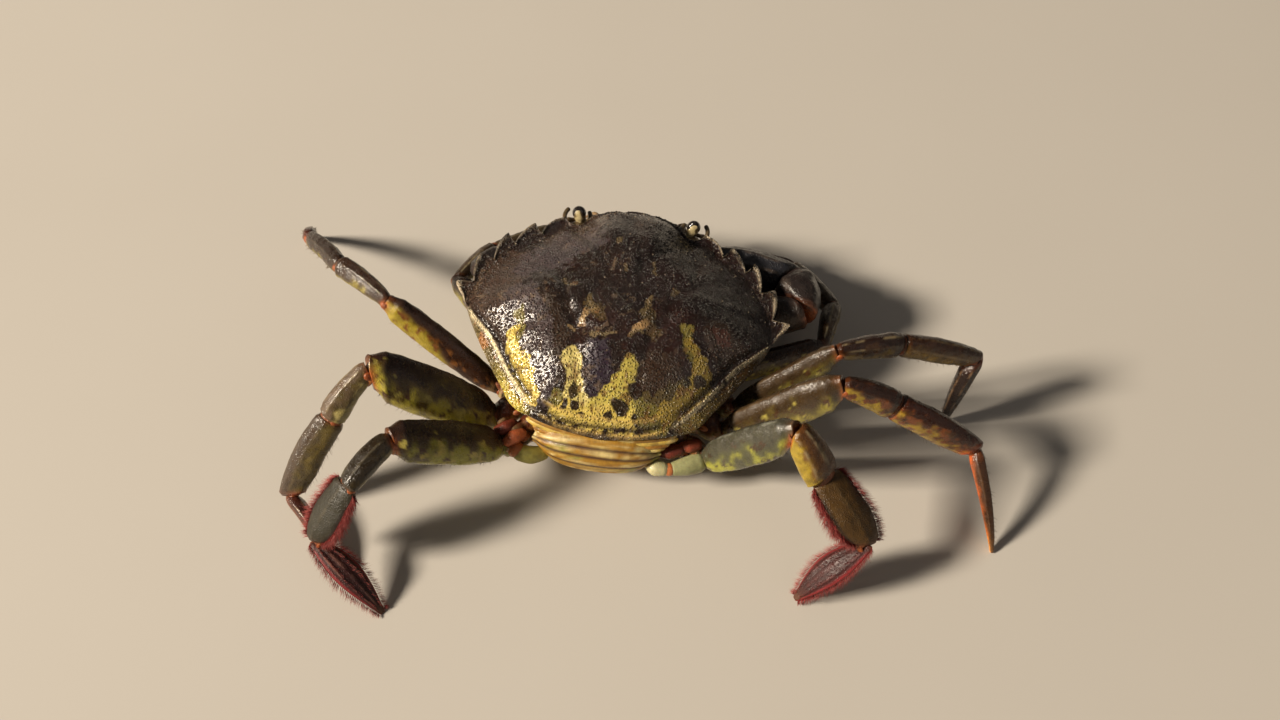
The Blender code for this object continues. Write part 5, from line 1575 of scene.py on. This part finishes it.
def bristleFinish():
    finish, tree, shader = startFinish("bristle")
    colour = blend(tree, noise(tree, overPlace(tree), 0.5, 2), readTint(tree), (0.55, 0.5, 0.5), "MULTIPLY")
    finishWith(tree, shader, colour, 0.5, None, 0.0, 0.2)
    return finish


bristles = {  # angle round the segment, from, to, count, length, thickness, spread
    "paddlePropodus": ((0, 0.02, 0.99, 620, 1.4, 0.036, 0.3), (180, 0.02, 0.99, 620, 1.4, 0.036, 0.3),
                       (14, 0.05, 0.99, 260, 1.3, 0.036, 0.3), (166, 0.05, 0.99, 260, 1.3, 0.036, 0.3)),
    "paddleDactylus": ((0, 0.02, 0.97, 560, 1.1, 0.032, 0.28), (180, 0.02, 0.97, 560, 1.1, 0.032, 0.28),
                       (60, 0.05, 0.9, 90, 0.5, 0.03, 0.3), (120, 0.05, 0.9, 90, 0.5, 0.03, 0.3)),
    "propodus": ((-60, 0.2, 0.97, 26, 0.75, 0.035, 0.3), (250, 0.2, 0.97, 26, 0.75, 0.035, 0.3)),
    "dactylus": ((30, 0.08, 0.85, 30, 0.55, 0.03, 0.3), (150, 0.08, 0.85, 30, 0.55, 0.03, 0.3),
                 (270, 0.08, 0.85, 34, 0.6, 0.03, 0.3)),
    "merus": ((-70, 0.15, 0.95, 18, 0.7, 0.035, 0.3), (250, 0.15, 0.95, 18, 0.7, 0.035, 0.3)),
    "hip": ((-80, 0.2, 0.9, 12, 0.8, 0.035, 0.4),),
}
bristleTints = {
    "paddle": ((0.27, 0.024, 0.026), (0.52, 0.12, 0.1)), "leg": ((0.1, 0.06, 0.03), (0.3, 0.2, 0.1)),
    "beard": ((0.16, 0.09, 0.04), (0.36, 0.24, 0.12))}
beardLines = (
    ((0.9, 15.6, -9.3), (4.4, 15.9, -8.8), 0.9), ((0.55, 6.0, -12.9), (0.5, 13.5, -10.6), 0.6),
    ((4.6, 6.5, -12.3), (6.4, 14.5, -9.4), 0.7))


def legBristles():
    chance = np.random.default_rng(23)
    rows = []  # root, aim, size, tint and place on the map

    def keep(root, aim, thick, reach, tint, spot):
        count = len(root)
        size = np.stack([np.full(count, thick), np.full(count, thick), reach], -1)
        rows.append((root, aim, size, tint, np.concatenate([spot, np.zeros((count, 1))], 1)))

    for order, ((side, number, part), limb) in enumerate(limbs.items()):
        paddle = number == 5 and part in ("propodus", "dactylus")
        grid, outward, along = limb["grid"], limb["outward"], unit(limb["run"])
        for angle, first, last, count, length, thick, spread in bristles.get(
                "paddle" + part.capitalize() if paddle else part, ()):
            t = np.sort(chance.uniform(first, last, count))
            lane = math.radians(angle) + chance.normal(0, 0.07, count)
            row = np.clip((t * (len(grid) - 1)).astype(int), 0, len(grid) - 1)
            col = np.floor(lane / (2 * math.pi) * grid.shape[1]).astype(int) % grid.shape[1]
            root, out = grid[row, col], outward[row, col]
            sweep = chance.normal(0, spread, (count, 3)) * 0.6
            aim = unit(out + along * (0.45 + 0.5 * t[:, None]) + sweep)
            reach = length * (0.6 + 0.6 * chance.random(count)) * (0.7 + 0.5 * np.sin(math.pi * t))
            low = 1 - step(0.02, 0.6, (root + aim * reach[:, None])[:, 2])
            aim[:, 2] = np.maximum(aim[:, 2], mix(aim[:, 2], 0.15, low))
            tint = laid(*bristleTints["paddle" if paddle else "leg"], chance.random(count))
            cell = np.array([order % 7, order // 7]) / 7
            spot = cell + np.stack([t, (lane / (2 * math.pi)) % 1], -1) * 0.12 + 0.01
            keep(root, unit(aim), thick, reach, tint, spot)
    for sign in (-1, 1):  # a beard along the mouthparts and under the front
        for k, (first, last, length) in enumerate(beardLines):
            count = 60
            t = np.linspace(0, 1, count)
            root = mix(np.array(first), np.array(last), t[:, None]) + chance.normal(0, 0.08, (count, 3))
            aim = unit(np.array([0.0, 0.7, -0.6]) + chance.normal(0, 0.25, (count, 3)))
            reach = chance.uniform(0.6, 1.1, count) * length
            tint = laid(*bristleTints["beard"], chance.random(count))
            spot = np.stack([0.02 + 0.2 * t, np.full(count, 0.9 + 0.03 * k)], -1)
            keep(place(root, sign), aim, 0.035, reach, tint, spot)
    points, aims, sizes, tints, roots = [np.concatenate(part) for part in zip(*rows)]
    print("bristles", len(points))
    scatterPiece("legBristles", "bristle", points, aims, sizes, tints, bristleFinish(), 7, roots)


shellGrains()
legBristles()
tell("grains and bristles")


# floor, light and camera
lamps = {  # direction, watts, width and colour
    "key": ((-0.8, -0.3, 0.52), 140, 450, (1.0, 0.88, 0.72)),
    "fill": ((0.65, -0.45, 0.62), 3.8, 1800, (1.0, 0.9, 0.8)),
    "sky": ((0.05, 0.55, 0.83), 1.3, 1800, (1.0, 0.93, 0.88))}
lampDistance = 2700
cameraTurns = (-2.5, 56.21, 4.04)  # degrees to the right, down and round
cameraAt = (9.24, -123.87, 168.38)  # from the middle of the body


def floorFinish():
    finish, tree, shader = startFinish("floorPale")
    where = overPlace(tree)
    colour = blend(tree, noise(tree, where, 60, 3, 0.5), (0.54, 0.505, 0.455), (0.57, 0.535, 0.485))
    finishWith(tree, shader, colour, 0.75, None)
    return finish


def buildStage():
    size = 3500 * mm
    mesh = bpy.data.meshes.new("floor")
    mesh.from_pydata([(-size, -size, 0), (size, -size, 0), (size, size, 0), (-size, size, 0)], [],
                     [(0, 1, 2, 3)])
    mesh.materials.append(floorFinish())
    addObject("floor", mesh)
    for name, (towards, power, size, colour) in lamps.items():
        data = bpy.data.lights.new(name, "AREA")
        data.energy, data.size, data.color = power, size * mm, colour
        lamp, way = addObject(name, data), unit(towards)
        lamp.location = (way * lampDistance + np.array([0, 0, 15])) * mm
        side = unit(np.cross([0, 1, 0.01], way))
        lamp.rotation_euler = Matrix(np.array([side, np.cross(way, side), way]).T.tolist()).to_euler()
    world = bpy.data.worlds.new("studio")
    world.use_nodes = True
    tree = world.node_tree
    dim, either = tree.nodes["Background"], addNode(tree, "MixShader")
    feed(tree, dim, {"Color": (0.95, 0.88, 0.82, 1.0), "Strength": 0.06})
    backdrop = addNode(tree, "Background", {"Color": (0.56, 0.5, 0.42, 1.0), "Strength": 0.75})
    seen = addNode(tree, "LightPath").outputs["Is Camera Ray"]
    feed(tree, either, {"Fac": seen, 1: dim.outputs[0], 2: backdrop.outputs[0]})
    feed(tree, tree.nodes["World Output"], {"Surface": either.outputs[0]})
    bpy.context.scene.world = world


def buildCamera():  # behind and above the crab, a little to its right
    yaw, down, roll = [math.radians(angle) for angle in cameraTurns]
    ahead = np.array([math.sin(yaw) * math.cos(down), math.cos(yaw) * math.cos(down), -math.sin(down)])
    right = np.array([math.cos(yaw), -math.sin(yaw), 0])
    above = np.cross(right, ahead)
    across = math.cos(roll) * right + math.sin(roll) * above
    upward = math.cos(roll) * above - math.sin(roll) * right
    data = bpy.data.cameras.new("view")
    data.lens, data.sensor_width = 33.75, 36
    data.clip_start, data.clip_end = 1 * mm, 5000 * mm
    camera = addObject("view", data)
    camera.matrix_world = Matrix([[*row, 0] for row in zip(across, upward, -ahead)] + [[0, 0, 0, 1]])
    camera.location = (bodyAt + np.array(cameraAt)) * mm
    bpy.context.scene.camera = camera


buildStage()
buildCamera()
bpy.context.scene.view_settings.view_transform = "Standard"
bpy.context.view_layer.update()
tell("stage")
